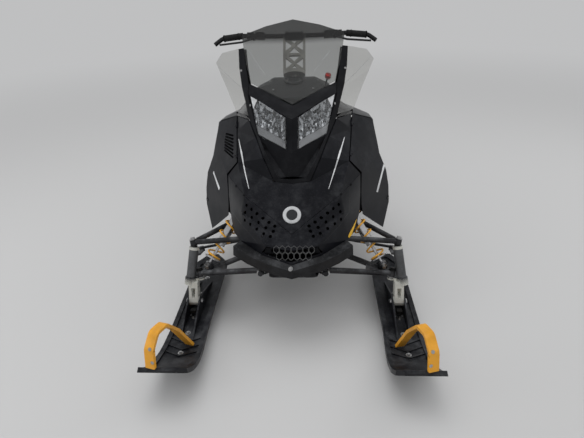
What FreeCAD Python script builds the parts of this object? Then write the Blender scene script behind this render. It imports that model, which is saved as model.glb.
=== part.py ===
"""Trail snowmobile with a tall windshield: full-size assembly in millimetres.

Frame: X to the rider's left, Y backwards, Z up, with the ground at Z = 0.
Tables give places as (half width or x, distance behind the ski pin, height).
"""

import FreeCAD, Part
import math
import os

V = FreeCAD.Vector
X_AXIS = V(1, 0, 0)
Y_AXIS = V(0, 1, 0)
Z_AXIS = V(0, 0, 1)

# Driving dimensions
LENGTH = 2890.0  # ski tip to the end of the snow flap
STANCE = 1000.0  # ski centre to ski centre
SKI_LEAD = 520.0  # ski pin to ski tip
SKI_TAIL = 450.0  # ski pin to ski tail
SKI_WIDTH = 176.0
SKI_BASE = 10.0  # thickness of the ski's moulded base
SKI_RIM = 10.0  # height of the raised edge
SKI_TOP = 34.0  # height of the base's upper face where the ski is flat
SKI_CURVE = 355.0  # radius of the upturned front
RUNNER_RADIUS = 5.0
PIN_HEIGHT = 90.0
PIN_RADIUS = 7.0
PIN_Y = SKI_LEAD - LENGTH / 2

TRACK_WIDTH = 381.0
TRACK_PITCH = 63.5
FLAP_REACH = 310.0  # from the tunnel's end to the flap's end
TUNNEL_BACK = LENGTH - SKI_LEAD - FLAP_REACH
# the belt has a whole number of pitches and ends about a hand before the tunnel does
TRACK_LENGTH = TRACK_PITCH * round((TUNNEL_BACK - 536) / (TRACK_PITCH / 2))
BELT = 6.0
LUG_HEIGHT = 32.0
LUG_THICKNESS = 9.0
DRIVE_RADIUS = 82.0  # to the belt's inner face
DRIVE_BACK = 760.0
AXLE_RADIUS = 17.0
DRIVE_HEIGHT = 330.0
REAR_RADIUS = 89.0
CARRIER_RADIUS = 58.0
CARRIER_HEIGHT = 318.0
RAIL_NOSE_RADIUS = 190.0
RAIL_NOSE_BACK = 1080.0
SKID_SPAN = TUNNEL_BACK - RAIL_NOSE_BACK
CARRIER_BACK = RAIL_NOSE_BACK + round(SKID_SPAN * 0.32653)
RAIL_HALF_GAP = 128.0
RAIL_THICKNESS = 16.0

TUNNEL_WIDTH = 408.0
TUNNEL_TOP = 500.0
TUNNEL_FRONT = 610.0
SEAT_FRONT = 990.0
SEAT_BACK = TUNNEL_BACK - 270
SHEET = 3.0
TANK_CROWN = 890.0
BOARD_HEIGHT = 296.0
BOARD_EDGE = 372.0  # half width to the outer lip
BOARD_BACK = TUNNEL_BACK - 70

WALL = 3.0  # moulded bodywork
GLAZING = 3.0
SEAM = 0.9  # gap between neighbouring panels
FIT = 0.3  # clearance of a pin or shaft in its bore

FRAME_FOOT = 104.0  # half width of the front frame at its foot
FRAME_LEAN = 27.0
FRAME_ROD = 12.0
PAN_FLOOR = 250.0
ENGINE_FRONT = 430.0
ENGINE_BACK = 585.0
ENGINE_FLOOR = 300.0

HANDLEBAR_RADIUS = 11.0
COLUMN_RADIUS = 13.0
ARM_TUBE = 13.0  # radius of a suspension arm's tube
STUD_RADIUS = 7.0
HUB_RADIUS = 16.0
HUB_LENGTH = 28.0
STEERING_ARM = 112.0
ROD_RADIUS = 7.0


def at(x, back, z):
    """A place given by its side, its distance behind the ski pin and its height."""
    return V(x, PIN_Y + back, z)


def between(a, b, share):
    return a + (b - a) * share


def unit(v):
    return V(v).normalize()


def mirrored(shape):
    return shape.mirror(V(0, 0, 0), X_AXIS)


def both(shape):
    """The shape and its mirror image as solids of one node."""
    return Part.makeCompound([shape, mirrored(shape)])


def fused(shapes):
    """One solid from shapes that meet."""
    result = shapes[0].multiFuse(shapes[1:]) if len(shapes) > 1 else shapes[0]
    return result.removeSplitter()


def face(points):
    return Part.Face(Part.makePolygon(list(points) + [points[0]]))


def plate(points, thickness_vector):
    return face(points).extrude(thickness_vector)


def side_plate(outline, x0, x1):
    """Outline of (back, height) points, spread between two x values."""
    return plate([at(x0, back, z) for back, z in outline], V(x1 - x0, 0, 0))


def block(x0, x1, back0, back1, z0, z1):
    return Part.makeBox(x1 - x0, back1 - back0, z1 - z0, at(x0, back0, z0))


def rod(a, b, radius, bore=0.0):
    """Round bar from one place to another, hollow when it has a bore."""
    run = b - a
    bar = Part.makeCylinder(radius, run.Length, a, run)
    if bore:
        bar = bar.cut(Part.makeCylinder(bore, run.Length + 2, a - unit(run), run))
    return bar


def route(points, bend):
    """Straight runs joined by tangent arcs of one radius."""
    edges = []
    start = points[0]
    for before, corner, after in zip(points, points[1:], points[2:]):
        inward = unit(corner - before)
        outward = unit(after - corner)
        half_turn = inward.getAngle(outward) / 2
        setback = bend * math.tan(half_turn)
        inside = unit(outward - inward)
        centre = corner + inside * (bend / math.cos(half_turn))
        first = corner - inward * setback
        last = corner + outward * setback
        edges.append(Part.LineSegment(start, first).toShape())
        edges.append(Part.Arc(first, centre - inside * bend, last).toShape())
        start = last
    edges.append(Part.LineSegment(start, points[-1]).toShape())
    return Part.Wire(edges)


def bent_bar(points, radius, bend):
    """Round bar swept along a bent route."""
    path = route(points, bend)
    ring = Part.Wire(Part.makeCircle(radius, points[0], points[1] - points[0]))
    return path.makePipeShell([ring], True, False)


def bent_strap(points, bend, width_vector, thickness):
    """Flat strap swept along a bent route that lies in one plane."""
    path = route(points, bend)
    across = V(width_vector) / 2
    lift = unit(unit(points[1] - points[0]).cross(width_vector)) * (thickness / 2)
    corners = [points[0] + across + lift, points[0] - across + lift]
    corners += [points[0] - across - lift, points[0] + across - lift]
    section = Part.makePolygon(corners + corners[:1])
    return path.makePipeShell([section], True, False)


def polyhedron(triangles):
    """Solid bounded by triangles that share their edges."""
    shell = Part.Shell([face(corners) for corners in triangles])
    return Part.Solid(shell).removeSplitter()


def ring_loft(rings):
    """Faceted solid through closed rings with the same number of points."""
    triangles = []
    for low, high in zip(rings, rings[1:]):
        for k in range(len(low)):
            n = (k + 1) % len(low)
            triangles.append((low[k], low[n], high[n]))
            triangles.append((low[k], high[n], high[k]))
    for ring in (rings[0], rings[-1]):
        for k in range(1, len(ring) - 1):
            triangles.append((ring[0], ring[k], ring[k + 1]))
    solid = Part.Solid(Part.Shell([face(corners) for corners in triangles])).removeSplitter()
    if solid.Volume < 0:
        solid.reverse()
    return solid


class Skin:
    """Bodywork panel: facets over grids of places, thickened inwards to one wall."""

    def __init__(self, outward):
        self.outward = outward
        self.corners = []
        self.numbers = {}
        self.triangles = []

    def number(self, place):
        key = (round(place.x, 2), round(place.y, 2), round(place.z, 2))
        if key not in self.numbers:
            self.numbers[key] = len(self.corners)
            self.corners.append(place)
        return self.numbers[key]

    def add(self, ids):
        if len(set(ids)) < 3:
            return
        a, b, c = (self.corners[k] for k in ids)
        if (b - a).cross(c - a).dot(self.outward(a)) < 0:
            ids = (ids[0], ids[2], ids[1])
        self.triangles.append(tuple(ids))

    def grid(self, rows):
        for low, high in zip(rows, rows[1:]):
            for a, b, c, d in zip(low, low[1:], high[1:], high):
                out = self.outward(a)
                rise = ((a + c) - (b + d)).dot(out)
                a, b, c, d = (self.number(p) for p in (a, b, c, d))
                if rise >= 0:
                    self.add((a, b, c))
                    self.add((a, c, d))
                else:
                    self.add((a, b, d))
                    self.add((b, c, d))
        return self

    def normals(self):
        sums = [V(0, 0, 0) for _ in self.corners]
        for ids in self.triangles:
            a, b, c = (self.corners[k] for k in ids)
            normal = unit((b - a).cross(c - a))
            for k, p, q in ((0, b, c), (1, c, a), (2, a, b)):
                corner = self.corners[ids[k]]
                sums[ids[k]] += normal * (p - corner).getAngle(q - corner)
        return [unit(s) for s in sums]

    def solid(self, wall):
        inner = [p - n * wall for p, n in zip(self.corners, self.normals())]
        edges = set()
        for a, b, c in self.triangles:
            edges.update({(a, b), (b, c), (c, a)})
        faces = []
        for a, b, c in self.triangles:
            faces.append((self.corners[a], self.corners[b], self.corners[c]))
            faces.append((inner[a], inner[c], inner[b]))
        for a, b in edges:
            if (b, a) not in edges:
                faces.append((self.corners[a], inner[b], self.corners[b]))
                faces.append((self.corners[a], inner[a], inner[b]))
        return polyhedron(faces)


def places(row):
    return [at(*entry) for entry in row]


def full_row(row):
    """A row given from the centre line outwards, with its mirror image before it."""
    half = places(row)
    other = [V(-p.x, p.y, p.z) for p in reversed(half) if p.x > 0.001]
    return other + half


def screen_out(place):
    return V(0.6 * math.copysign(1, place.x) if abs(place.x) > 1 else 0, -1, 0.6)


def panel(rows, wall=WALL, outward=screen_out, whole=True):
    arrange = full_row if whole else places
    return Skin(outward).grid([arrange(row) for row in rows]).solid(wall)


# Skis and what stands on them

SKI_X = STANCE / 2
SKI_FLAT_FRONT = 240.0  # the curve starts this far before the pin
SKI_TURN = math.radians(52)
SKI_WIDE = 97.0  # half width at the upturned front


def ski_layer(thickness, plan):
    """The ski's side profile at one thickness, cut to a plan outline."""
    low = SKI_TOP - SKI_BASE
    high = low + thickness
    centre_z = low + SKI_CURVE
    centre_back = -SKI_FLAT_FRONT

    def on_curve(radius, angle):
        return at(0, centre_back - radius * math.sin(angle), centre_z - radius * math.cos(angle))

    inner = SKI_CURVE - thickness
    tail_rise = 22.0
    edges = [
        Part.LineSegment(at(0, SKI_TAIL, low + tail_rise), at(0, SKI_TAIL - 90, low)),
        Part.LineSegment(at(0, SKI_TAIL - 90, low), on_curve(SKI_CURVE, 0)),
        Part.Arc(on_curve(SKI_CURVE, 0), on_curve(SKI_CURVE, SKI_TURN / 2), on_curve(SKI_CURVE, SKI_TURN)),
        Part.LineSegment(on_curve(SKI_CURVE, SKI_TURN), on_curve(inner, SKI_TURN)),
        Part.Arc(on_curve(inner, SKI_TURN), on_curve(inner, SKI_TURN / 2), on_curve(inner, 0)),
        Part.LineSegment(on_curve(inner, 0), at(0, SKI_TAIL - 90, high)),
        Part.LineSegment(at(0, SKI_TAIL - 90, high), at(0, SKI_TAIL, high + tail_rise)),
        Part.LineSegment(at(0, SKI_TAIL, high + tail_rise), at(0, SKI_TAIL, low + tail_rise)),
    ]
    profile = Part.Face(Part.Wire([e.toShape() for e in edges]))
    profile.translate(V(-2 * SKI_WIDTH, 0, 0))
    return profile.extrude(V(4 * SKI_WIDTH, 0, 0)).common(plan)


def ski_plan(inset):
    """Plan outline with a pointed outboard ear and rounded corners, drawn for the left ski."""
    half = SKI_WIDTH / 2 - inset
    wide = SKI_WIDE - inset
    nose = -SKI_LEAD - 40
    tail = SKI_TAIL - inset
    corner = 60.0
    outline = [
        (half, tail - corner),
        (half, -150.0),
        (wide, -340.0),
        (wide - 5, -470.0),
        (wide, -SKI_LEAD + inset),
        (-wide + 34, -SKI_LEAD + 8 + inset),
        (-wide + 7, -SKI_LEAD + 36 + inset),
        (-wide, -SKI_LEAD + 84),
        (-wide, -340.0),
        (-half, -150.0),
        (-half, tail - corner),
        (-half + corner, tail),
        (half - corner, tail),
    ]
    points = [at(x, back, nose) for x, back in outline]
    return plate(points, V(0, 0, 1200))


def ski():
    """One ski: base, raised edge, keel, saddle ribs, chevrons and the pin across the saddle."""
    outer = ski_plan(0)
    base = ski_layer(SKI_BASE, outer)
    rim = ski_layer(SKI_BASE + SKI_RIM, outer.cut(ski_plan(22)))
    low = SKI_TOP - SKI_BASE
    keel_low = RUNNER_RADIUS + 1
    keel_section = [(-28, low + 1), (28, low + 1), (15, keel_low), (-15, keel_low)]
    keel_run = V(0, SKI_TAIL + SKI_FLAT_FRONT - 110, 0)
    keel = plate([at(x, -SKI_FLAT_FRONT, z) for x, z in keel_section], keel_run)
    groove = rod(at(0, -SKI_LEAD, RUNNER_RADIUS), at(0, SKI_TAIL, RUNNER_RADIUS), RUNNER_RADIUS + FIT)
    rib_line = [(-215, SKI_TOP - 1), (235, SKI_TOP - 1), (70, PIN_HEIGHT + 6), (24, PIN_HEIGHT + 22)]
    rib_line += [(-24, PIN_HEIGHT + 22), (-70, PIN_HEIGHT + 6)]
    pieces = [base, rim, keel.cut(groove)]
    for x in (-33.0, 25.0):
        pieces.append(side_plate(rib_line, x, x + 8))
    for back in (-330.0, -285.0, -240.0):
        chevron = [at(-70, back + 34, 0), at(0, back, 0), at(70, back + 34, 0)]
        chevron += [at(70, back + 42, 0), at(0, back + 8, 0), at(-70, back + 42, 0)]
        pieces.append(ski_layer(SKI_BASE + 7, plate(chevron, V(0, 0, 400))))
    pieces.append(rod(at(-44, 0, PIN_HEIGHT), at(44, 0, PIN_HEIGHT), PIN_RADIUS))
    return fused(pieces)


def ski_runner():
    return rod(at(0, -190, RUNNER_RADIUS), at(0, 250, RUNNER_RADIUS), RUNNER_RADIUS)


def ski_loop():
    """Bent handle from the outboard tip to the middle of the ski, across the upturn."""
    front = at(42, -508, 0)
    rear = at(-30, -246, 0)
    along = unit(rear - front)
    # distance along the ski and height
    profile = [(0, 174.5), (16, 256), (62, 302), (124, 290), (188, 204), (268, SKI_TOP + 11.2)]
    points = [front + along * s + V(0, 0, z) for s, z in profile]
    return bent_strap(points, 26, along.cross(Z_AXIS) * 42, 14)


# Front suspension and steering, drawn for the left side

UPPER_BALL = at(SKI_X - 2, 112, 362)
LOWER_BALL = at(SKI_X - 30, 58, 215)
KINGPIN = unit(UPPER_BALL - LOWER_BALL)
UPPER_PIVOTS = (at(215, 84, 401), at(250, 375, 380))
LOWER_PIVOTS = (at(150, -52, 312), at(165, 190, 274))
SHOCK_LOW = at(SKI_X - 72, 74, 257)
SHOCK_HIGH = at(250, 262, 500)
ARM_HEIGHT = 300.0  # where the steering arm leaves the kingpin


def hub(centre, direction, radius=HUB_RADIUS, length=HUB_LENGTH, bore=STUD_RADIUS + FIT):
    half = unit(direction) * (length / 2)
    return rod(centre - half, centre + half, radius, bore)


def arm(ball, pivots, tube):
    """A-shaped arm: a hub at the ball joint, two tubes and a sleeve at each inner pivot."""
    axis = unit(pivots[1] - pivots[0])
    half = KINGPIN * (HUB_LENGTH / 2)
    pieces = []
    for pivot in pivots:
        start = between(ball, pivot, (HUB_RADIUS - 3) / (pivot - ball).Length)
        pieces.append(rod(start, between(pivot, ball, 12 / (pivot - ball).Length), tube))
        pieces.append(rod(pivot - axis * 22, pivot + axis * 22, 17))
    pieces.append(rod(ball - half, ball + half, HUB_RADIUS))
    body = fused(pieces)
    for pivot in pivots:
        body = body.cut(rod(pivot - axis * 30, pivot + axis * 30, 8 + FIT))
    return body.cut(rod(ball - KINGPIN * 40, ball + KINGPIN * 40, STUD_RADIUS + FIT))


def gusset(ball, pivots, near, far, thickness):
    """Web between the two tubes of an arm, from one share of their length to another."""
    corners = [between(ball, pivots[0], near), between(ball, pivots[0], far)]
    corners += [between(ball, pivots[1], far * 0.92), between(ball, pivots[1], near)]
    normal = unit((pivots[0] - ball).cross(pivots[1] - ball)) * thickness
    lowered = [p - normal / 2 for p in corners]
    flat = [p - normal * ((p - lowered[0]).dot(unit(normal)) / thickness) for p in lowered]
    return plate(flat, normal)


def upper_arm():
    return arm(UPPER_BALL, UPPER_PIVOTS, ARM_TUBE)


def lower_arm():
    body = arm(LOWER_BALL, LOWER_PIVOTS, ARM_TUBE + 1)
    web = gusset(LOWER_BALL, LOWER_PIVOTS, 0.09, 0.42, 12)
    axis = unit((SHOCK_HIGH - SHOCK_LOW).cross(Z_AXIS))
    base = V(SHOCK_LOW.x, SHOCK_LOW.y, SHOCK_LOW.z - 30)
    ears = []
    for side in (-1, 1):
        centre = SHOCK_LOW + axis * (side * 20)
        ear = rod(centre - axis * 4, centre + axis * 4, 15)
        foot = V(base.x, base.y, base.z) + axis * (side * 20)
        stem = Part.makeBox(26, 8, 34, V(-13, -4, 0))
        stem.rotate(V(0, 0, 0), Z_AXIS, math.degrees(math.atan2(axis.y, axis.x)) - 90)
        stem.translate(foot)
        ears.extend([ear, stem])
    pin = rod(SHOCK_LOW - axis * 26, SHOCK_LOW + axis * 26, STUD_RADIUS)
    clear = rod(LOWER_BALL - KINGPIN * 60, LOWER_BALL + KINGPIN * 60, STUD_RADIUS + FIT)
    return fused([body, web, pin] + ears).cut(clear)


def spindle():
    """Upper tube, collar, forked lower leg with its boss, studs of both ball joints, steering arm."""
    top = UPPER_BALL - KINGPIN * (HUB_LENGTH / 2 + 8)
    foot = at(SKI_X + 20, 36, 178)
    down = unit(foot - top)
    tube = rod(top, foot, 23)
    collar = rod(foot - down * 24, foot + down * 12, 28)
    boss = rod(at(SKI_X - 24.5, 0, PIN_HEIGHT), at(SKI_X + 24.5, 0, PIN_HEIGHT), 23)
    leg_line = [(58, 190), (14, 186), (-24, 96), (-16, 74), (16, 74), (34, 104)]
    leg = side_plate(leg_line, SKI_X - 20, SKI_X + 24)
    window = side_plate([(36, 168), (20, 166), (0, 122), (16, 118)], SKI_X - 60, SKI_X + 60)
    recess_line = [(-8, 162), (12, 162), (9, 116), (-5, 116)]
    recess = plate([at(SKI_X + x, -60, z) for x, z in recess_line], V(0, 88, 0))
    stud_low = rod(LOWER_BALL - KINGPIN * 30, LOWER_BALL + KINGPIN * 24, STUD_RADIUS)
    shelf_centre = LOWER_BALL - KINGPIN * 26
    shelf = rod(shelf_centre - KINGPIN * 6, shelf_centre + KINGPIN * 6, 17)
    bridge = rod(shelf_centre - KINGPIN, at(SKI_X + 14, 44, 190), 10)
    stud_high = rod(top - KINGPIN * 12, UPPER_BALL + KINGPIN * (HUB_LENGTH / 2 + 4), STUD_RADIUS)
    steer = steering_arm()
    body = fused([tube, collar, boss, leg, shelf, bridge, stud_low, stud_high, steer])
    pin_hole = rod(at(SKI_X - 60, 0, PIN_HEIGHT), at(SKI_X + 60, 0, PIN_HEIGHT), PIN_RADIUS + FIT)
    return body.cut(window).cut(recess).cut(pin_hole)


def arm_root():
    share = (ARM_HEIGHT - LOWER_BALL.z) / (UPPER_BALL.z - LOWER_BALL.z)
    return between(LOWER_BALL, UPPER_BALL, share)


def arm_tip():
    """Centre of the steering arm's eye: straight back, square to the kingpin."""
    back = unit(KINGPIN.cross(X_AXIS)) * -1
    if back.y < 0:
        back = back * -1
    return arm_root() + back * STEERING_ARM


def steering_arm():
    root = arm_root()
    tip = arm_tip()
    along = unit(tip - root)
    across = unit(KINGPIN.cross(along))
    half = KINGPIN * 5
    bar_line = [root + along * 12 + across * 17, tip + across * 11]
    bar_line += [tip - across * 11, root + along * 12 - across * 17]
    bar = plate([p - half for p in bar_line], half * 2)
    return fused([bar, rod(tip - half, tip + half, 15)])


def tie_rod():
    """Rod whose outer eye lies on the steering arm and which slides along its own line."""
    eye = arm_tip() + KINGPIN * (5 + FIT + 8)
    along = tie_direction()
    inner = eye + along * (eye.x - 96) * (1 / abs(along.x))
    return fused([rod(eye - KINGPIN * 8, eye + KINGPIN * 8, 14), rod(eye + along * 8, inner, ROD_RADIUS)])


def tie_direction():
    """Where the steering arm's eye moves first, towards the middle of the machine."""
    move = KINGPIN.cross(arm_tip() - arm_root())
    if move.x > 0:
        move = move * -1
    return unit(move)


def shock():
    """Damper body, rod and both eyes."""
    axis = unit(SHOCK_HIGH - SHOCK_LOW)
    pin_axis = unit(axis.cross(Z_AXIS))
    parts = [rod(SHOCK_LOW, SHOCK_LOW + axis * 120, 7)]
    parts.append(rod(SHOCK_LOW + axis * 110, SHOCK_HIGH - axis * 19, 22))
    parts.append(rod(SHOCK_HIGH - axis * 20, SHOCK_HIGH, 9))
    parts.append(rod(SHOCK_LOW + axis * 34, SHOCK_LOW + axis * 40, 40))
    parts.append(rod(SHOCK_HIGH - axis * 64, SHOCK_HIGH - axis * 56, 40))
    for centre in (SHOCK_LOW, SHOCK_HIGH):
        parts.append(rod(centre - pin_axis * 13, centre + pin_axis * 13, 15))
    body = fused(parts)
    for centre in (SHOCK_LOW, SHOCK_HIGH):
        body = body.cut(rod(centre - pin_axis * 40, centre + pin_axis * 40, STUD_RADIUS + FIT))
    return body


def coil(a, b, radius, wire, turns, steps=12, sides=6):
    """Open-coil spring between two places, as a faceted helix."""
    axis = unit(b - a)
    first = unit(axis.cross(X_AXIS))
    second = axis.cross(first)
    height = (b - a).Length - 2 * wire
    rings = []
    for k in range(int(turns * steps) + 1):
        angle = 2 * math.pi * k / steps
        out = first * math.cos(angle) + second * math.sin(angle)
        centre = a + out * radius + axis * (wire + height * k / (turns * steps))
        ring = []
        for m in range(sides):
            turn = 2 * math.pi * m / sides
            ring.append(centre + out * (wire * math.cos(turn)) + axis * (wire * math.sin(turn)))
        rings.append(ring)
    return ring_loft(rings)


def shock_spring():
    axis = unit(SHOCK_HIGH - SHOCK_LOW)
    return coil(SHOCK_LOW + axis * (40 + FIT), SHOCK_HIGH - axis * (64 + FIT), 35, 4.6, 5.5, 14)


def frame_x(z):
    """Half width of the leaning side plates at a height."""
    return FRAME_FOOT + math.tan(math.radians(FRAME_LEAN)) * (z - PAN_FLOOR - 12)


def front_frame():
    """Leaning side plates with windows, cross members, pivot pins and shock brackets."""
    plates = []
    foot = PAN_FLOOR + 12
    outline = [(-90, 322), (-50, 296), (40, foot), (604, foot), (604, 292), (425, 292), (415, 440)]
    outline += [(330, 470), (190, 470), (74, 404), (40, 352), (-10, 340), (-84, 334)]
    windows = [[(40, 300), (120, 290), (80, 380)], [(150, 290), (290, 284), (225, 420)],
               [(330, 290), (400, 290), (400, 400), (300, 400)]]
    side = side_plate(outline, 0, 6)
    for window in windows:
        side = side.cut(side_plate(window, -1, 7))
    side.rotate(at(0, 0, foot), Y_AXIS, FRAME_LEAN)
    side.translate(V(FRAME_FOOT, 0, 0))
    plates.extend([side, mirrored(side)])
    crosses = []
    floor_rod = PAN_FLOOR + WALL + FRAME_ROD + FIT
    engine_rod = ENGINE_FLOOR - FIT - FRAME_ROD
    rows = [(-40, 318), (80, floor_rod), (220, floor_rod), (390, floor_rod), (390, 400), (590, floor_rod)]
    rows += [(ENGINE_FRONT + 30, engine_rod), (ENGINE_BACK - 30, engine_rod)]
    for back, z in rows:
        half = frame_x(z) + 3
        crosses.append(rod(at(-half, back, z), at(half, back, z), FRAME_ROD))
    half = TUNNEL_WIDTH / 2
    crosses.append(block(-half, half, 594, TUNNEL_FRONT - FIT, foot + 8, 392))
    pins = []
    for pivots in (UPPER_PIVOTS, LOWER_PIVOTS):
        axis = unit(pivots[1] - pivots[0])
        for pivot in pivots:
            lugs = [rod(pivot - axis * 42, pivot + axis * 42, 8)]
            for side_sign in (-1, 1):
                centre = pivot + axis * (36 * side_sign)
                lugs.append(rod(centre - axis * 4, centre + axis * 4, 12))
                lugs.append(rod(centre, V(frame_x(centre.z), centre.y, centre.z), 6))
            group = fused(lugs)
            pins.extend([group, mirrored(group)])
    bracket_axis = unit((SHOCK_HIGH - SHOCK_LOW).cross(Z_AXIS))
    inboard = unit(V(SHOCK_HIGH.x - SHOCK_LOW.x, SHOCK_HIGH.y - SHOCK_LOW.y, 0)) * 34
    reach = bracket_axis * 20
    bracket = [rod(SHOCK_HIGH - bracket_axis * 26, SHOCK_HIGH + bracket_axis * 26, STUD_RADIUS)]
    for centre in (SHOCK_HIGH - reach, SHOCK_HIGH + reach):
        bracket.append(rod(centre - bracket_axis * 4, centre + bracket_axis * 4, 14))
        bracket.append(rod(centre, centre + inboard, 3.4))
    bracket.append(rod(SHOCK_HIGH - reach * 1.3 + inboard, SHOCK_HIGH + reach * 1.3 + inboard, 8))
    post = SHOCK_HIGH + inboard
    bracket.append(rod(post, V(frame_x(430) + 3, post.y, 430), 9))
    pins.extend([fused(bracket), mirrored(fused(bracket))])
    structure = fused(plates + crosses)
    for pivots in (UPPER_PIVOTS, LOWER_PIVOTS):
        axis = unit(pivots[1] - pivots[0])
        for pivot in pivots:
            room = rod(pivot - axis * 24, pivot + axis * 24, 21)
            structure = structure.cut(room).cut(mirrored(room))
    return fused([structure] + pins)


def engine():
    return block(-185, 185, ENGINE_FRONT, ENGINE_BACK, ENGINE_FLOOR, ENGINE_FLOOR + 310)


# Bodywork, as rows of (half width, back, height) from the centre line outwards

HOOD_EDGE = [(0, -70, 515), (109, 5, 575), (218, 80, 634)]
LAMP_FOOT = [(0, 105.5, 673.6), (84, 117, 679), (260, 230, 729)]
HOOD_SIDES = [
    [(84, 117, 679), (260, 230, 729)],
    [(132, 162, 776), (268, 300, 776)],
    [(170, 246, 844), (277, 390, 832)],
    [(207, 319, 906), (283, 468, 884)],
]


NOSE_CORNER = (318, 250, 657)
# reach and depth of the flange under the lamps' frame at each station of the hood's inner edge
FLANGE = [(15, 11), (14, 8), (4, 8), (12, 8)]


def flange():
    """L-shaped strip under the hood's inner edge that closes the gap beside the pillar."""
    edge = [places(row)[0] for row in HOOD_SIDES]
    edge[0] = between(edge[0], edge[1], 0.12)
    rings = []
    for p, (reach, depth) in zip(edge, FLANGE):
        out = unit(screen_out(p))
        inward = unit(out.cross(edge[3] - edge[0]))
        if inward.x > 0:
            inward = inward * -1
        section = [(0, depth), (reach, depth), (reach, depth + WALL), (-3, depth + WALL), (-3, 1), (0, 1)]
        rings.append([p + inward * across - out * down for across, down in section])
    return ring_loft(rings)


def hood():
    """Top panel with its side wings, the facets at its corners and a flange under the lamps' frame."""
    skin = Skin(screen_out)
    skin.grid([full_row(HOOD_EDGE), full_row(LAMP_FOOT)])
    corner = places([LAMP_FOOT[2], HOOD_EDGE[2], NOSE_CORNER])
    wing = [places(row) for row in HOOD_SIDES]
    for sign in (1, -1):
        sided = [[V(sign * p.x, p.y, p.z) for p in row] for row in wing]
        skin.grid(sided)
        a, b, c = (V(sign * p.x, p.y, p.z) for p in corner)
        skin.grid([[b, c], [a, a]])
    pieces = [flange()] + hinge_pins()
    return fused([skin.solid(WALL)] + pieces + [mirrored(piece) for piece in pieces])


def below(row, gap):
    """The same row moved forwards and down by a seam's gap."""
    return [(x, back - 0.7 * gap, z - 0.7 * gap) for x, back, z in row]


NOSE_ROWS = [
    below(HOOD_EDGE + [NOSE_CORNER], 2.2),
    [(0, -102, 500), (113, -50, 522), (235, 60, 560), (320, 228, 566)],
    [(0, -130, 487), (120, -95, 478), (240, 48, 478), (316, 200, 474)],
    [(0, -162, 415), (124, -88, 413), (244, 20, 425), (290, 112, 420)],
]


def nose():
    """Front fascia with the grille mouth and a field of round holes on each side."""
    shape = panel(NOSE_ROWS)
    mouth = [(-110, 472), (110, 472), (136, 426), (-136, 426)]
    shape = shape.cut(plate([at(x, -260, z) for x, z in mouth], V(0, 200, 0)))
    return shape


def nose_point(side, down):
    """Place on the fascia: side 0 to 1 from tip to corner, down 0 to 1 from hood edge to grille."""
    top = places(NOSE_ROWS[0][:3])
    low = places(NOSE_ROWS[2][:3])
    k = 0 if side < 0.5 else 1
    share = side * 2 - k
    return between(between(top[k], top[k + 1], share), between(low[k], low[k + 1], share), down)


HOLE_RADIUS = 7.5
HOLE_ROWS = [(0.22, 0.34, 0.92, 6), (0.45, 0.36, 0.93, 5), (0.68, 0.40, 0.92, 5)]  # down, first, last, count


def hole_tools():
    tools = []
    for down, first, last, count in HOLE_ROWS:
        for k in range(count):
            share = first + (last - first) * k / (count - 1)
            centre = nose_point(share, down)
            axis = unit(V(0.45, -0.75, 0.62))
            tool = rod(centre - axis * 16, centre + axis * 16, HOLE_RADIUS)
            tools.extend([tool, mirrored(tool)])
    return tools


SIDE_STATIONS = [
    [
        (289, 471, 884), (279, 353, 807), (267, 236, 730), (325, 257, 662),
        (325, 234, 566), (329, 232, 500), (340, 243, 440), (404, 302, 366),
    ],
    [
        (402, 560, 829), (410, 545, 790), (424, 515, 730), (436, 482, 672),
        (476, 474, 580), (494, 470, 492), (499, 450, 403), (463, 360, 297),
    ],
    [
        (398, 720, 812), (404, 715, 775), (414, 710, 722), (424, 705, 665),
        (450, 700, 580), (468, 700, 494), (470, 690, 405), (452, 610, 304),
    ],
    [
        (352, 880, 790), (356, 884, 752), (361, 876, 702), (368, 856, 650),
        (378, 826, 575), (386, 802, 494), (389, 790, 405), (388, 776, 320),
    ],
]


def outboard(place):
    return V(1, -0.35, 0.15)


PANEL_LOW = at(*SIDE_STATIONS[0][2])
PANEL_HIGH = at(*SIDE_STATIONS[0][0])
PANEL_AXIS = unit(PANEL_HIGH - PANEL_LOW)
KNUCKLES = [0.16, 0.80]  # places of the hinge's two knuckles along the edge
KNUCKLE = 4.4
KNUCKLE_HALF = 13.0
KNUCKLE_PIN = 2.2
EAR = 5.0


def side_panel():
    shape = panel(SIDE_STATIONS, outward=outboard, whole=False)
    for share in KNUCKLES:
        centre = between(PANEL_LOW, PANEL_HIGH, share)
        reach = PANEL_AXIS * (KNUCKLE_HALF + FIT + EAR + SEAM)
        barrel = PANEL_AXIS * KNUCKLE_HALF
        shape = shape.cut(rod(centre - reach, centre + reach, KNUCKLE + 2 * SEAM))
        web = rod(centre + V(2.4, 0, -2), centre + V(9, 4, -9), 3.4)
        barrel_body = rod(centre - barrel, centre + barrel, KNUCKLE)
        shape = fused([shape, barrel_body, web])
        shape = shape.cut(rod(centre - reach, centre + reach, KNUCKLE_PIN + FIT))
    return shape


VENT_SLOTS = 7
VENT_DOWN = (0.46, 0.97)  # first and last slot, from the panel's top corner to its hinge's foot
VENT_ACROSS = (0.14, 0.55)


def vented(shape):
    """The left side panel with the ladder of slots that only the right one has."""
    front, rear = (places(row[:3]) for row in SIDE_STATIONS[:2])
    for k in range(VENT_SLOTS):
        down = VENT_DOWN[0] + (VENT_DOWN[1] - VENT_DOWN[0]) * k / (VENT_SLOTS - 1)
        a, b = between(front[0], front[2], down), between(rear[0], rear[2], down)
        p, q = (between(a, b, share) for share in VENT_ACROSS)
        out = unit(outboard(p)) * 25
        half = unit((q - p).cross(out)) * 5
        shape = shape.cut(plate([p + half - out, q + half - out, q - half - out, p - half - out], out * 2))
    return shape


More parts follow.
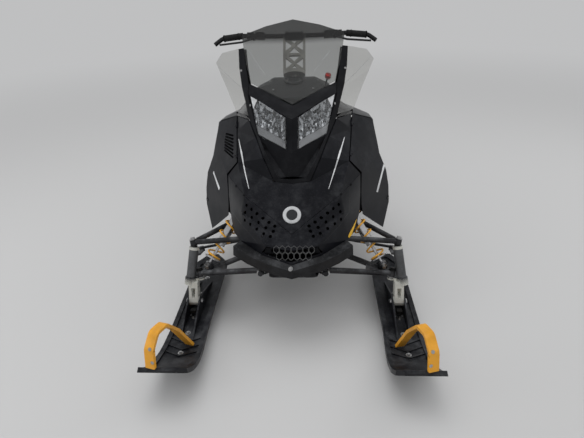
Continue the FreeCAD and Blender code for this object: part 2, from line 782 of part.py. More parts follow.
def hinge_pins():
    """Pins of the left side panel's hinge, each between two ears on the hood's edge."""
    pieces = []
    inboard = unit(V(0, -0.45, 0.75).cross(PANEL_AXIS))
    for share in KNUCKLES:
        centre = between(PANEL_LOW, PANEL_HIGH, share)
        end = PANEL_AXIS * (KNUCKLE_HALF + FIT + EAR)
        pieces.append(rod(centre - end, centre + end, KNUCKLE_PIN))
        for sign in (-1, 1):
            near = centre + PANEL_AXIS * (sign * (KNUCKLE_HALF + FIT))
            far = centre + PANEL_AXIS * (sign * (KNUCKLE_HALF + FIT + EAR))
            pieces.append(rod(near, far, KNUCKLE))
            middle = between(near, far, 0.5)
            pieces.append(rod(middle, middle + inboard * 9, 2.2))
    return pieces


# outer foot, outer crown, inner crown and inner foot of the bumper's section, from the middle outwards
BUMPER_STATIONS = [
    [(0, -192, 364), (0, -188, 402), (0, -163.4, 418), (0, -163.4, 374)],
    [(129, -121, 353), (130, -115, 398), (124.6, -89.2, 416), (124.6, -89.2, 368)],
    [(205, -84, 368), (206, -76, 414), (185, -34.6, 422), (185, -34.6, 376)],
    [(272, -48, 393), (270, -36, 436), (245.2, 19, 430), (245.2, 19, 392)],
]


def bumper():
    """Deep front bumper that wraps the nose from corner to corner."""
    rings = [places(station) for station in BUMPER_STATIONS]
    right = [[V(-p.x, p.y, p.z) for p in ring] for ring in reversed(rings[1:])]
    return ring_loft(right + rings)


def belly_pan():
    """Open tray under the engine bay, narrow between the suspension arms."""
    # half width at the floor, half width at the rim, back, floor height, rim height
    stations = [
        (92, 110, -80, 290, 296),
        (118, 126, 30, PAN_FLOOR, PAN_FLOOR + 6),
        (130, 142, 250, PAN_FLOOR, PAN_FLOOR + 10),
        (150, 200, 425, PAN_FLOOR, PAN_FLOOR + 50),
        (190, 318, 470, PAN_FLOOR, PAN_FLOOR + 72),
        (196, 326, 636, PAN_FLOOR, PAN_FLOOR + 72),
    ]
    skin = Skin(lambda p: V(0.9 * math.copysign(1, p.x) if abs(p.x) > 1 else 0, 0, -1))
    rows = [full_row([(0, -162.7, 378), (50, -132.9, 377), (84, -112.7, 377)])]
    for floor_x, rim_x, back, floor_z, rim_z in stations:
        rows.append(full_row([(0, back, floor_z), (floor_x, back, floor_z), (rim_x, back, rim_z)]))
    return skin.grid(rows).solid(WALL)


def grille():
    """Honeycomb mesh behind the mouth."""
    frame_line = [(-106, 474), (106, 474), (124.6, 424), (-124.6, 424)]
    mesh = plate([at(x, -84, z) for x, z in frame_line], V(0, 8, 0))
    cell = 14.0
    tools = []
    for row, count in enumerate((7, 6)):
        z = 438.5 + row * 22
        for k in range(count):
            x = (k - (count - 1) / 2) * cell * 2 * 0.98
            turns = [math.radians(a) for a in range(30, 390, 60)]
            ring = [at(x + cell * 0.84 * math.cos(a), -90, z + cell * 0.84 * math.sin(a)) for a in turns]
            tools.append(plate(ring, V(0, 20, 0)))
    for tool in tools:
        mesh = mesh.cut(tool)
    return mesh


# Lamps, screens and their frame

BROW_TOP = [(0, 345, 962), (30, 356, 975), (90, 382, 1002), (150, 407, 1028), (206, 428, 1050)]
BROW_LOW = [(0, 240, 930), (27, 250, 940), (85, 290, 964), (140, 330, 988), (204, 372, 1012)]


SUNK_TOP = [(0, 180, 790), (23, 190, 802), (162, 250, 852)]


def middle(points):
    total = V(0, 0, 0)
    for p in points:
        total += p
    return total / len(points)


def lamp_bowl():
    """Bowl that closes one lamp's opening from behind."""
    opening = places(BROW_LOW[1:] + [SUNK_TOP[2], SUNK_TOP[1]])
    centre = middle(opening)
    back = V(0, 72, -22)

    def ring(share, shift):
        return [centre + (p - centre) * share + shift for p in opening]

    shell = ring_loft([ring(0.995, V(0, 3, -1)), ring(0.60, back + V(0, WALL, 0))])
    hollow = ring_loft([ring(0.965, V(0, -4, 3)), ring(0.56, back)])
    return shell.cut(hollow)


def lamp_surround():
    """Brow over the lamps, divider between them, the sunk panel below and the lamps' bowls."""
    brow = Skin(screen_out).grid([full_row(BROW_TOP), full_row(BROW_LOW)])
    brow.grid([full_row(BROW_LOW[:2]), full_row(SUNK_TOP[:2])])
    sunk_low = [(0, 150, 690), (30, 148, 688), (68, 130, 690)]
    brow.grid([full_row(SUNK_TOP), full_row(sunk_low)])
    bowl = lamp_bowl()
    return fused([brow.solid(WALL), bowl, mirrored(bowl)])


LENS = [(32, 250, 938), (85, 290, 962), (140, 330, 986), (200, 370, 1010)]
LENS_LOW = [(30, 193, 804), (70, 210, 822), (120, 232, 840), (160, 252, 856)]


def lens():
    rows = [[(x - 4, b - 4, z - 4) for x, b, z in LENS], [(x - 4, b - 4, z + 2) for x, b, z in LENS_LOW]]
    return panel(rows, whole=False)


# outer x, back, z, then inner x, back, z
PILLARS = [
    (264, 562, 1188, 238, 556, 1192),
    (258, 500, 1110, 226, 490, 1116),
    (242, 432, 1034, 210, 427, 1048),
    (222, 375, 975, 207, 366, 1000),
    (203, 318, 910, 178, 290, 916),
    (166, 246, 848, 160, 243, 860),
    (128, 160, 780, 112, 156, 784),
    (82, 118, 680, 62, 122, 694),
    (0, 106, 674, 0, 112, 692),
]


def windshield_frame():
    """Pillars from the screen's sides down past the lamps, joined by the bar below them."""
    skin = Skin(screen_out)
    rows = [[at(*station[:3]), at(*station[3:])] for station in PILLARS]
    skin.grid(rows)
    skin.grid([[V(-a.x, a.y, a.z), V(-b.x, b.y, b.z)] for a, b in rows])
    return skin.solid(5)


SCREEN = [
    [(0, 350, 968), (70, 380, 998), (201, 436, 1053)],
    [(0, 470, 1125), (150, 505, 1120), (232, 530, 1146)],
    [(0, 640, 1305), (130, 624, 1280), (250, 602, 1243)],
]


def windshield():
    return panel(SCREEN, wall=GLAZING)


# outer edge; the inner edge follows the pillar
DEFLECTOR = [(362, 640, 1160), (402, 650, 1111), (345, 575, 1000), (292, 500, 892)]


def deflector():
    rows = []
    for outer, pillar in zip(DEFLECTOR, PILLARS):
        inner = (pillar[0] + 1.5, pillar[1] + SEAM, pillar[2])
        rows.append([inner, outer])
    return panel(rows, wall=GLAZING, whole=False)


# inner edge on the pillar, outer edge under the deflector
FILLER = [[(223.5, 376, 974), (291, 497.5, 893)], [(205, 321.5, 909.5), (285, 468.6, 886.5)]]


def filler():
    """Smoked piece between the deflector and the hood."""
    return panel(FILLER, wall=GLAZING, whole=False)


# Rear body

# inner edge beside the console and tank, outer edge along the side panel's top
COWL = [
    [(163.5, 482, 954), (287, 482, 883)],
    [(173.5, 520, 952), (318, 505, 871)],
    [(167.0, 610, 940), (396, 566, 834)],
    [(158.0, 730, 852), (392, 720, 816.5)],
    [(180.0, 800, 828), (370, 799, 805)],
    [(173.5, 870, 806), (347, 878, 794)],
]


def upward(place):
    return V(0.2, 0, 1)


def cowl():
    """Cover between the side panel's top edge and the console."""
    return panel(COWL, outward=upward, whole=False)


RISER_FOOT = at(0, 640, 1048)
RISER_DISC = 56.0
COLUMN_LINE = unit(at(0, 740, 1208) - RISER_FOOT)


RACK_X = 110.0
RACK_BACKS = (TUNNEL_BACK - 210, TUNNEL_BACK - 50)
RACK_HOLE = 4.5  # rack bolts, M8


def tunnel():
    """Folded aluminium tunnel with tapered back end."""
    half = TUNNEL_WIDTH / 2
    line = [(-half, BOARD_HEIGHT), (-half, TUNNEL_TOP - 40), (-half + 40, TUNNEL_TOP)]
    line += [(half - 40, TUNNEL_TOP), (half, TUNNEL_TOP - 40), (half, BOARD_HEIGHT)]
    inner = [(-half + SHEET, BOARD_HEIGHT), (-half + SHEET, TUNNEL_TOP - 41)]
    inner += [(-half + 41, TUNNEL_TOP - SHEET), (half - 41, TUNNEL_TOP - SHEET)]
    inner += [(half - SHEET, TUNNEL_TOP - 41), (half - SHEET, BOARD_HEIGHT)]
    points = [at(x, TUNNEL_FRONT, z) for x, z in line + inner[::-1]]
    shape = plate(points, V(0, TUNNEL_BACK - TUNNEL_FRONT, 0))
    under = BOARD_HEIGHT - 5
    trim = [(TUNNEL_BACK - 260, under), (TUNNEL_BACK + 5, under), (TUNNEL_BACK + 5, 420)]
    shape = shape.cut(side_plate(trim, -half - 5, half + 5))
    nose_trim = [(TUNNEL_FRONT - 5, under), (TUNNEL_FRONT + 60, under), (TUNNEL_FRONT - 5, 360)]
    shape = shape.cut(side_plate(nose_trim, -half - 5, half + 5))
    for x in (-RACK_X, RACK_X):
        for back in RACK_BACKS:
            shape = shape.cut(rod(at(x, back, TUNNEL_TOP - 20), at(x, back, TUNNEL_TOP + 20), RACK_HOLE))
    near, far = (at(x, DRIVE_BACK, DRIVE_HEIGHT) for x in (-half - 5, half + 5))
    return shape.cut(rod(near, far, AXLE_RADIUS + FIT))


def running_board():
    """Footboard with drain slots, a rolled outer lip and a raised toe hold."""
    inner = TUNNEL_WIDTH / 2
    floor = block(inner, BOARD_EDGE, 700, BOARD_BACK, BOARD_HEIGHT - SHEET, BOARD_HEIGHT)
    slots = []
    first_slot, slot_pitch = 780, 84
    for k in range(int((BOARD_BACK - first_slot) / slot_pitch)):
        back = first_slot + k * slot_pitch
        slots.append(block(inner + 40, inner + 130, back, back + 36, BOARD_HEIGHT - 10, BOARD_HEIGHT + 10))
    for slot in slots:
        floor = floor.cut(slot)
    lip = rod(at(BOARD_EDGE, 700, BOARD_HEIGHT), at(BOARD_EDGE, BOARD_BACK, BOARD_HEIGHT), 11)
    toe_line = [(700, BOARD_HEIGHT - SHEET), (640, BOARD_HEIGHT + 70)]
    toe_line += [(640, BOARD_HEIGHT + 74), (702, BOARD_HEIGHT)]
    toe = side_plate(toe_line, inner, BOARD_EDGE)
    return fused([floor, lip, toe])


def cushion(stations):
    """Loft of sections: back, floor half width, floor z, shoulder half width, shoulder z, crown z."""
    rings = []
    for back, foot_x, foot_z, side_x, side_z, crown in stations:
        ring = [(-foot_x, foot_z), (foot_x, foot_z), (side_x, side_z), (side_x * 0.6, crown)]
        ring += [(-side_x * 0.6, crown), (-side_x, side_z)]
        rings.append([at(x, back, z) for x, z in ring])
    return ring_loft(rings)


def seat():
    floor = TUNNEL_TOP + FIT
    run = SEAT_BACK - SEAT_FRONT
    return cushion([
        (SEAT_FRONT, 120, 640, 120, 790, 812),
        (SEAT_FRONT + 70, 150, floor, 150, 760, 812),
        (SEAT_FRONT + run * 0.45, 160, floor, 165, 740, 790),
        (SEAT_FRONT + run * 0.7625, 150, floor, 165, 760, 812),
        (SEAT_BACK - 50, 120, floor + 40, 140, 770, 812),
        (SEAT_BACK, 90, floor + 110, 110, 740, 780),
    ])


def tank():
    floor = TUNNEL_TOP + FIT
    return cushion([
        (660, 150, floor, 190, 800, TANK_CROWN),
        (800, 165, floor, 200, 800, TANK_CROWN),
        (SEAT_FRONT - FIT, 130, floor, 150, 770, 850),
    ])


FUEL_CAP = 40.0


def fuel_cap():
    """Round cap on the tank's sloping crown."""
    slope = 40.0 / 190.0  # fall of the crown behind its highest section
    normal = unit(V(0, slope, 1))
    foot = at(0, 885, TANK_CROWN - slope * 85) + normal * FIT
    cap = rod(foot, foot + normal * 22, FUEL_CAP)
    for k in range(10):
        turn = FreeCAD.Rotation(normal, 36 * k)
        flute = foot + turn.multVec(X_AXIS * (FUEL_CAP + 3))
        cap = cap.cut(rod(flute + normal * 4, flute + normal * 30, 7))
    return cap


def console():
    """Instrument pod under the screen, with the steering column's bearing and its well."""
    floor = TANK_CROWN + FIT
    pod = cushion([
        (400, 90, floor, 150, 960, 985),
        (520, 150, floor, 185, 1010, 1030),
        (610, 150, floor, 170, 1010, 1040),
        (700, 120, floor, 140, 940, 965),
    ])
    well = rod(RISER_FOOT - COLUMN_LINE * 16, RISER_FOOT + COLUMN_LINE * 90, RISER_DISC + 6)
    sleeve = rod(RISER_FOOT - COLUMN_LINE * 60, RISER_FOOT, COLUMN_RADIUS + 5)
    bearing = rod(RISER_FOOT - COLUMN_LINE * 220, RISER_FOOT, COLUMN_RADIUS + FIT)
    return pod.cut(well).cut(sleeve).cut(bearing)


BUMPER_RADIUS = 12.5
BUMPER_END = TUNNEL_BACK + 130
BUMPER_Z = 500.0


def rear_bumper():
    half = TUNNEL_WIDTH / 2 + BUMPER_RADIUS + FIT
    points = [at(half, TUNNEL_BACK - 300, 436), at(half, TUNNEL_BACK - 50, 446)]
    points.append(at(half, BUMPER_END - 60, BUMPER_Z - 20))
    points.append(at(half - 50, BUMPER_END, BUMPER_Z))
    other = [V(-p.x, p.y, p.z) for p in reversed(points)]
    return bent_bar(points + other, BUMPER_RADIUS, 40)


def snow_flap():
    top_back = TUNNEL_BACK
    end_back = LENGTH - SKI_LEAD
    low = TUNNEL_TOP + FIT
    line = [(top_back - 40, low), (top_back + 2, low), (top_back + 56, 438), (end_back - 6, 147)]
    line += [(end_back, 150), (top_back + 61, 441), (top_back + 5, low + 5), (top_back - 40, low + 5)]
    half = TUNNEL_WIDTH / 2 - 42
    return side_plate(line, -half, half)


def tail_lamp():
    return block(-80, 80, SEAT_BACK + FIT, SEAT_BACK + 22, 690, 735)


# Track and skid

def belt_circles(rear_back):
    ground = LUG_HEIGHT + BELT
    return [
        (DRIVE_BACK, DRIVE_HEIGHT, DRIVE_RADIUS),
        (RAIL_NOSE_BACK, ground + RAIL_NOSE_RADIUS, RAIL_NOSE_RADIUS),
        (rear_back, ground + REAR_RADIUS, REAR_RADIUS),
        (CARRIER_BACK, CARRIER_HEIGHT, CARRIER_RADIUS),
    ]


def belt_path(circles, offset):
    """Runs round the circles as (kind, data): tangent lines and arcs, counterclockwise from the side."""
    count = len(circles)
    touches = []
    for k in range(count):
        b0, z0, r0 = circles[k]
        b1, z1, r1 = circles[(k + 1) % count]
        r0 += offset
        r1 += offset
        gap = math.hypot(b1 - b0, z1 - z0)
        heading = math.atan2(z1 - z0, b1 - b0)
        lean = math.asin((r1 - r0) / gap)
        normal = heading - math.pi / 2 - lean
        a = (b0 + r0 * math.cos(normal), z0 + r0 * math.sin(normal))
        b = (b1 + r1 * math.cos(normal), z1 + r1 * math.sin(normal))
        touches.append((a, b, normal))
    runs = []
    for k in range(count):
        a, b, normal = touches[k]
        runs.append(("line", a, b))
        following = touches[(k + 1) % count]
        sweep = (following[2] - normal) % (2 * math.pi)
        centre = circles[(k + 1) % count]
        runs.append(("arc", (centre[0], centre[1]), centre[2] + offset, normal, sweep))
    return runs


def run_length(run):
    if run[0] == "line":
        return math.dist(run[1], run[2])
    return run[2] * run[4]


def path_length(runs):
    return sum(run_length(run) for run in runs)


def rear_axle_back():
    """Where the rear axle lies when the belt has its full length."""
    near, far = RAIL_NOSE_BACK + 300, RAIL_NOSE_BACK + 2000
    for _ in range(60):
        middle = (near + far) / 2
        if path_length(belt_path(belt_circles(middle), BELT / 2)) < TRACK_LENGTH:
            near = middle
        else:
            far = middle
    return near


REAR_BACK = rear_axle_back()


def run_point(run, distance):
    """Place and outward direction at a distance along one run."""
    if run[0] == "line":
        a, b = run[1], run[2]
        share = distance / run_length(run)
        heading = math.atan2(b[1] - a[1], b[0] - a[0])
        place = (a[0] + (b[0] - a[0]) * share, a[1] + (b[1] - a[1]) * share)
        return place, heading - math.pi / 2
    angle = run[3] + distance / run[2]
    place = (run[1][0] + run[2] * math.cos(angle), run[1][1] + run[2] * math.sin(angle))
    return place, angle


def path_edges(runs, start, stop, x):
    """Edges of a path between two distances along it."""
    edges = []
    done = 0.0
    for run in runs:
        length = run_length(run)
        a = max(start - done, 0.0)
        b = min(stop - done, length)
        if b - a > 0.001:
            p, q = run_point(run, a)[0], run_point(run, b)[0]
            if run[0] == "line":
                edges.append(Part.LineSegment(at(x, *p), at(x, *q)).toShape())
            else:
                middle = run_point(run, (a + b) / 2)[0]
                edges.append(Part.Arc(at(x, *p), at(x, *middle), at(x, *q)).toShape())
        done += length
    return edges


def locate(runs, distance):
    for run in runs:
        length = run_length(run)
        if distance <= length:
            return run_point(run, distance)
        distance -= length
    return run_point(runs[-1], run_length(runs[-1]))


def track_band(x0, x1, lugs_from):
    """One lengthwise band of the track: the belt with a lug on every other row."""
    circles = belt_circles(REAR_BACK)
    outer = belt_path(circles, BELT)
    inner = belt_path(circles, 0)
    total = path_length(outer)
    rows = round(TRACK_LENGTH / TRACK_PITCH)
    edges = []
    cursor = 0.0
    for k in range(lugs_from, rows, 2):
        centre = total * (k + 0.5) / rows
        first, last = centre - LUG_THICKNESS / 2, centre + LUG_THICKNESS / 2
        edges.extend(path_edges(outer, cursor, first, x0))
        a, _ = locate(outer, first)
        d, _ = locate(outer, last)
        _, direction = locate(outer, centre)
        lift = (LUG_HEIGHT * math.cos(direction), LUG_HEIGHT * math.sin(direction))
        b = (a[0] + lift[0], a[1] + lift[1])
        c = (d[0] + lift[0], d[1] + lift[1])
        for p, q in ((a, b), (b, c), (c, d)):
            edges.append(Part.LineSegment(at(x0, *p), at(x0, *q)).toShape())
        cursor = last
    edges.extend(path_edges(outer, cursor, total, x0))
    outline = Part.Face(Part.Wire(edges))
    hole = Part.Face(Part.Wire(path_edges(inner, 0.0, path_length(inner), x0)))
    return outline.cut(hole).extrude(V(x1 - x0, 0, 0))


def track():
    half = TRACK_WIDTH / 2
    # side limits as shares of the half width, and the first lug row
    bands = [(-1.0, -0.62, 0), (-0.62, -0.2, 1), (-0.2, 0.2, 0), (0.2, 0.62, 1), (0.62, 1.0, 0)]
    return fused([track_band(half * a, half * b, first) for a, b, first in bands])


REAR_SHAFT = 10.0


def slide_rail():
    """Slide rail with lightening windows, on the inside of the belt."""
    floor = LUG_HEIGHT + BELT + FIT
    nose_back = RAIL_NOSE_BACK - 130
    line = [(nose_back, floor + 74), (RAIL_NOSE_BACK - 70, floor + 26), (RAIL_NOSE_BACK + 20, floor)]
    line += [(REAR_BACK - 12, floor), (REAR_BACK + 30, floor + 50), (REAR_BACK + 24, floor + 108)]
    line += [(REAR_BACK - 60, floor + 110)]
    line += [(REAR_BACK - 160, floor + 62), (RAIL_NOSE_BACK + 60, floor + 62), (nose_back + 10, floor + 104)]
    bar = side_plate(line, RAIL_HALF_GAP, RAIL_HALF_GAP + RAIL_THICKNESS)
    window_pitch = 92
    for k in range(int((REAR_BACK - RAIL_NOSE_BACK - 200) / window_pitch)):
        back = RAIL_NOSE_BACK + 80 + k * window_pitch
        window = [(back, 24), (back + 58, 24), (back + 46, 48), (back + 12, 48)]
        window = [(b, floor + up) for b, up in window]
        bar = bar.cut(side_plate(window, RAIL_HALF_GAP - 1, RAIL_HALF_GAP + RAIL_THICKNESS + 1))
    near, far = (at(x, REAR_BACK, floor + REAR_RADIUS - FIT) for x in (0, 300))
    return bar.cut(rod(near, far, REAR_SHAFT + FIT))


WHEEL_WIDTH = 22.0


def wheel(x, back, z, radius, width):
    """Idler wheel with a dished web."""
    rim = rod(at(x - width / 2, back, z), at(x + width / 2, back, z), radius)
    for sign in (-1, 1):
        face_x = x + sign * width / 2
        pocket = rod(at(face_x, back, z), at(face_x - sign * width * 0.3, back, z), radius - 16)
        boss = rod(at(face_x, back, z), at(face_x - sign * width * 0.3, back, z), 24)
        rim = rim.cut(pocket.cut(boss))
    return rim


def rear_axle():
    """Rear axle with four idler wheels."""
    z = LUG_HEIGHT + BELT + REAR_RADIUS
    back = REAR_BACK
    shaft = rod(at(-178, back, z), at(178, back, z), REAR_SHAFT)
    wheels = [wheel(x, back, z, REAR_RADIUS - FIT, WHEEL_WIDTH) for x in (-165, -55, 55, 165)]
    return fused([shaft] + wheels)


def drive_axle():
    """Drive shaft with two toothed sprockets."""
    reach = TUNNEL_WIDTH / 2 + 12
    ends = [at(x, DRIVE_BACK, DRIVE_HEIGHT) for x in (-reach, reach)]
    pieces = [rod(*ends, AXLE_RADIUS)]
    teeth = 8
    for x in (-70, 70):
        pieces.append(wheel(x, DRIVE_BACK, DRIVE_HEIGHT, DRIVE_RADIUS - 14, 30))
        for k in range(teeth):
            angle = 2 * math.pi * k / teeth
            out = V(0, math.cos(angle), math.sin(angle))
            start = at(x, DRIVE_BACK, DRIVE_HEIGHT) + out * (DRIVE_RADIUS - 24)
            pieces.append(rod(start, start + out * (24 - 0.7), 8))
    return fused(pieces)


def skid_arm(foot_back, foot_z, head_back, head_z, half_foot, half_head):
    """Swing arm between the rails and the tunnel."""
    pieces = [rod(at(-half_foot, foot_back, foot_z), at(half_foot, foot_back, foot_z), 13)]
    pieces.append(rod(at(-half_head, head_back, head_z), at(half_head, head_back, head_z), 15))
    for x_foot, x_head in ((half_foot - 20, half_head - 30), (-half_foot + 20, -half_head + 30)):
        pieces.append(rod(at(x_foot, foot_back, foot_z), at(x_head, head_back, head_z), 13))
    return fused(pieces)


def skid_arms():
    gap = RAIL_HALF_GAP - FIT
    half = TUNNEL_WIDTH / 2 - SHEET - FIT
    front_foot, rear_foot = (RAIL_NOSE_BACK + round(SKID_SPAN * share) for share in (0.16327, 0.63265))
    front = skid_arm(front_foot, 74, 930, CARRIER_HEIGHT, gap, half)
    rear = skid_arm(rear_foot, 74, CARRIER_BACK, CARRIER_HEIGHT, gap, half)
    carriers = [wheel(x, CARRIER_BACK, CARRIER_HEIGHT, CARRIER_RADIUS - FIT, WHEEL_WIDTH) for x in (-70, 70)]
    return Part.makeCompound([front, fused([rear] + carriers)])


# Handlebar


BAR_INNER = at(262, 758, 1224)
BAR_OUTER = at(384, 792, 1208)
BAR_TIP = at(424, 774, 1182)
BAR_HEAD = at(0, 744, 1218)
TRUSS_HALF = 57.0
TRUSS_BAR = 13.0
TRUSS_DEPTH = 18.0


def truss():
    """Lattice riser: a plate with eight triangular windows that leave two crosses."""
    rise = BAR_HEAD - RISER_FOOT
    up = unit(rise)
    depth = unit(X_AXIS.cross(up)) * TRUSS_DEPTH
    origin = RISER_FOOT - depth / 2

    def spot(x, share):
        return origin + V(x, 0, 0) + rise * share

    corners = ((-TRUSS_HALF, 0), (TRUSS_HALF, 0), (TRUSS_HALF, 1), (-TRUSS_HALF, 1))
    outline = [spot(x, share) for x, share in corners]
    shape = plate(outline, depth)
    side = TRUSS_HALF - TRUSS_BAR
    gap = TRUSS_BAR / rise.Length
    for low in (gap, 0.5 + gap * 0.5):
        high = low + 0.5 - gap * 1.5
        centre = (low + high) / 2
        lean = TRUSS_BAR * 0.62
        rest = gap * 0.72
        windows = [
            [(-side + lean * 1.4, low), (side - lean * 1.4, low), (0, centre - rest)],
            [(-side + lean * 1.4, high), (side - lean * 1.4, high), (0, centre + rest)],
            [(side, low + rest * 1.4), (side, high - rest * 1.4), (lean, centre)],
            [(-side, low + rest * 1.4), (-side, high - rest * 1.4), (-lean, centre)],
        ]
        for window in windows:
            hole = plate([spot(x, share) - depth for x, share in window], depth * 3)
            shape = shape.cut(hole)
    return shape


def handlebar():
    """Bar with hooked ends on a lattice riser, its clamp and its column."""
    half = [at(120, 746, 1218), BAR_INNER, BAR_OUTER, BAR_TIP]
    other = [V(-p.x, p.y, p.z) for p in reversed(half)]
    bar = bent_bar(other + half, HANDLEBAR_RADIUS, 24)
    clamp = block(-46, 46, 722, 766, 1196, 1236)
    column = rod(RISER_FOOT + COLUMN_LINE, RISER_FOOT - COLUMN_LINE * 130, COLUMN_RADIUS)
    disc = rod(RISER_FOOT - COLUMN_LINE * 8, RISER_FOOT + COLUMN_LINE * 8, RISER_DISC)
    return fused([truss(), clamp, bar, column, disc])


def grip():
    outer = between(BAR_INNER, BAR_OUTER, 0.86)
    inner = between(BAR_INNER, BAR_OUTER, 0.06)
    return rod(inner, outer, 16.0, HANDLEBAR_RADIUS + FIT)


def lever():
    """Perch clamped on the bar inboard of the grip, with its lever in front of the grip."""
    along = unit(BAR_INNER - at(120, 746, 1218))
    near = BAR_INNER - along * 52
    far = BAR_INNER - along * 18
    perch = fused([rod(near, far, HANDLEBAR_RADIUS + 7), rod(near, near + V(-4, -25, -13), 9)])
    arm = [near + V(4, -22, -11), BAR_INNER + V(8, -38, -26)]
    arm += [BAR_OUTER + V(-24, -36, -22), BAR_OUTER + V(12, -27, -26)]
    blade = bent_bar(arm, 5, 12)
    return fused([perch, blade]).cut(rod(near - along * 15, far + along * 9, HANDLEBAR_RADIUS + FIT))


def export(name, shape):
    shape.exportStep("parts/" + name + ".step")
    print(name, len(shape.Solids), round(shape.Volume / 1000), shape.isValid())


def left_ski_side(shape):
    moved = shape.copy()
    moved.translate(V(SKI_X, 0, 0))
    return moved


def main():
    os.makedirs("parts", exist_ok=True)
    pairs = {
        "ski": left_ski_side(ski()),
        "ski_runner": left_ski_side(ski_runner()),
        "ski_loop": left_ski_side(ski_loop()),
        "spindle": spindle(),
        "tie_rod": tie_rod(),
    }
    for name, shape in pairs.items():
        export(name + "_left", shape)
        export(name + "_right", mirrored(shape))
    door = side_panel()
    export("side_panel_left", door)
    export("side_panel_right", mirrored(vented(door)))
    fascia = nose()
    for tool in hole_tools():
        fascia = fascia.cut(tool)
    singles = {
        "upper_arms": both(upper_arm()),
        "lower_arms": both(lower_arm()),
        "shocks": both(shock()),
        "shock_springs": both(shock_spring()),
        "front_frame": front_frame(),
        "engine": engine(),
        "hood": hood(),
        "nose": fascia,
        "front_bumper": bumper(),
        "belly_pan": belly_pan(),
        "grille": grille(),
        "lamp_surround": lamp_surround(),
        "headlamp_lenses": both(lens()),
        "windshield_frame": windshield_frame(),
        "windshield": windshield(),
        "side_deflectors": both(Part.makeCompound([deflector(), filler()])),
        "cowls": both(cowl()),
        "tunnel": tunnel(),
        "running_boards": both(running_board()),
        "seat": seat(),
        "tank": Part.makeCompound([tank(), fuel_cap()]),
        "console": console(),
        "rear_bumper": rear_bumper(),
        "snow_flap": snow_flap(),
        "tail_lamp": tail_lamp(),
        "track": track(),
        "slide_rails": both(slide_rail()),
        "rear_axle": rear_axle(),
        "drive_axle": drive_axle(),
        "skid_arms": skid_arms(),
        "handlebar": handlebar(),
        "grips": both(grip()),
        "levers": both(lever()),
    }
    for name, shape in singles.items():
        export(name, shape)


main()
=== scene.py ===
import math
import random

import bmesh
import bpy
from mathutils import Matrix, Vector
from mathutils.bvhtree import BVHTree


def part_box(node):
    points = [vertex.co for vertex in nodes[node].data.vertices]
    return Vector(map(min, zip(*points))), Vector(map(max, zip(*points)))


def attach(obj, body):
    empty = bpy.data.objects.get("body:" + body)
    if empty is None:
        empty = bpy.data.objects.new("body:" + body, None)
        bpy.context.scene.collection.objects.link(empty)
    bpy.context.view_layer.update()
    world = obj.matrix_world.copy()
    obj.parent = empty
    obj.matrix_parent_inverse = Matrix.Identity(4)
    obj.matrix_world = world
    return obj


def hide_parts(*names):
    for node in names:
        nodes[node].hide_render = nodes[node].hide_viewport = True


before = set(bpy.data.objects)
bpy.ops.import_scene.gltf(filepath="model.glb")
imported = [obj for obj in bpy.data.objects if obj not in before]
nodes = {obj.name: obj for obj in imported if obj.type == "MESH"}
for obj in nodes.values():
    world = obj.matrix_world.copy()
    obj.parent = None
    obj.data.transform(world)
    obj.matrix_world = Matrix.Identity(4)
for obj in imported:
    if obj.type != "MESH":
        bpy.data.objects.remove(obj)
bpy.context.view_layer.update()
scene = bpy.context.scene
dice = random.Random(7)
print("frame loaded, nodes:", len(nodes))

pinBack = -0.925  # the ski pins' line, measured from the middle of the machine


def at(x, back, z):  # millimetres, back is measured from the ski pins' line
    return Vector((x / 1000, back / 1000 + pinBack, z / 1000))


def flip(p):
    return Vector((-p.x, p.y, p.z))


# shader nodes


def feed(node, inputs):
    for socket, value in inputs.items():
        if isinstance(value, bpy.types.NodeSocket):
            node.id_data.links.new(value, node.inputs[socket])
        else:
            node.inputs[socket].default_value = value
    return node


def newNode(tree, kind, inputs, **settings):
    node = tree.nodes.new("ShaderNode" + kind)
    for name, value in settings.items():
        setattr(node, name, value)
    return feed(node, inputs)


def math2(tree, kind, *values, clamp=False):
    return newNode(tree, "Math", dict(enumerate(values)), operation=kind, use_clamp=clamp).outputs[0]


def times(tree, a, b, clamp=False):
    return math2(tree, "MULTIPLY", a, b, clamp=clamp)


def ramp(tree, value, low, high, outLow=0.0, outHigh=1.0):
    inputs = dict(enumerate((value, low, high, outLow, outHigh)))
    return newNode(tree, "MapRange", inputs, interpolation_type="SMOOTHSTEP").outputs[0]


def noiseOf(tree, vector, scale, detail=2.0, rough=0.5, distortion=0.0):
    inputs = {"Vector": vector, "Scale": scale, "Detail": detail, "Roughness": rough}
    return newNode(tree, "TexNoise", {**inputs, "Distortion": distortion}).outputs["Fac"]


def objectPlace(tree, stretch=None):
    place = newNode(tree, "TexCoord", {}).outputs["Object"]
    if stretch:
        place = newNode(tree, "Mapping", {"Vector": place, "Scale": stretch}).outputs["Vector"]
    return place


def mixColour(tree, factor, a, b):
    inputs = {"Factor": factor}
    for socket, colour in (("A", a), ("B", b)):
        inputs[socket] = (*colour, 1) if isinstance(colour, tuple) else colour
    return newNode(tree, "Mix", inputs, data_type="RGBA").outputs["Result"]


# camera and light

cameraSet = {"place": (108.7, -1696.7, 1498.9), "yaw": -3.684, "pitch": 29.13, "roll": -2.234, "lens": 27.12}
sensorWidth, photoWidth, photoHeight = 36, 584, 438


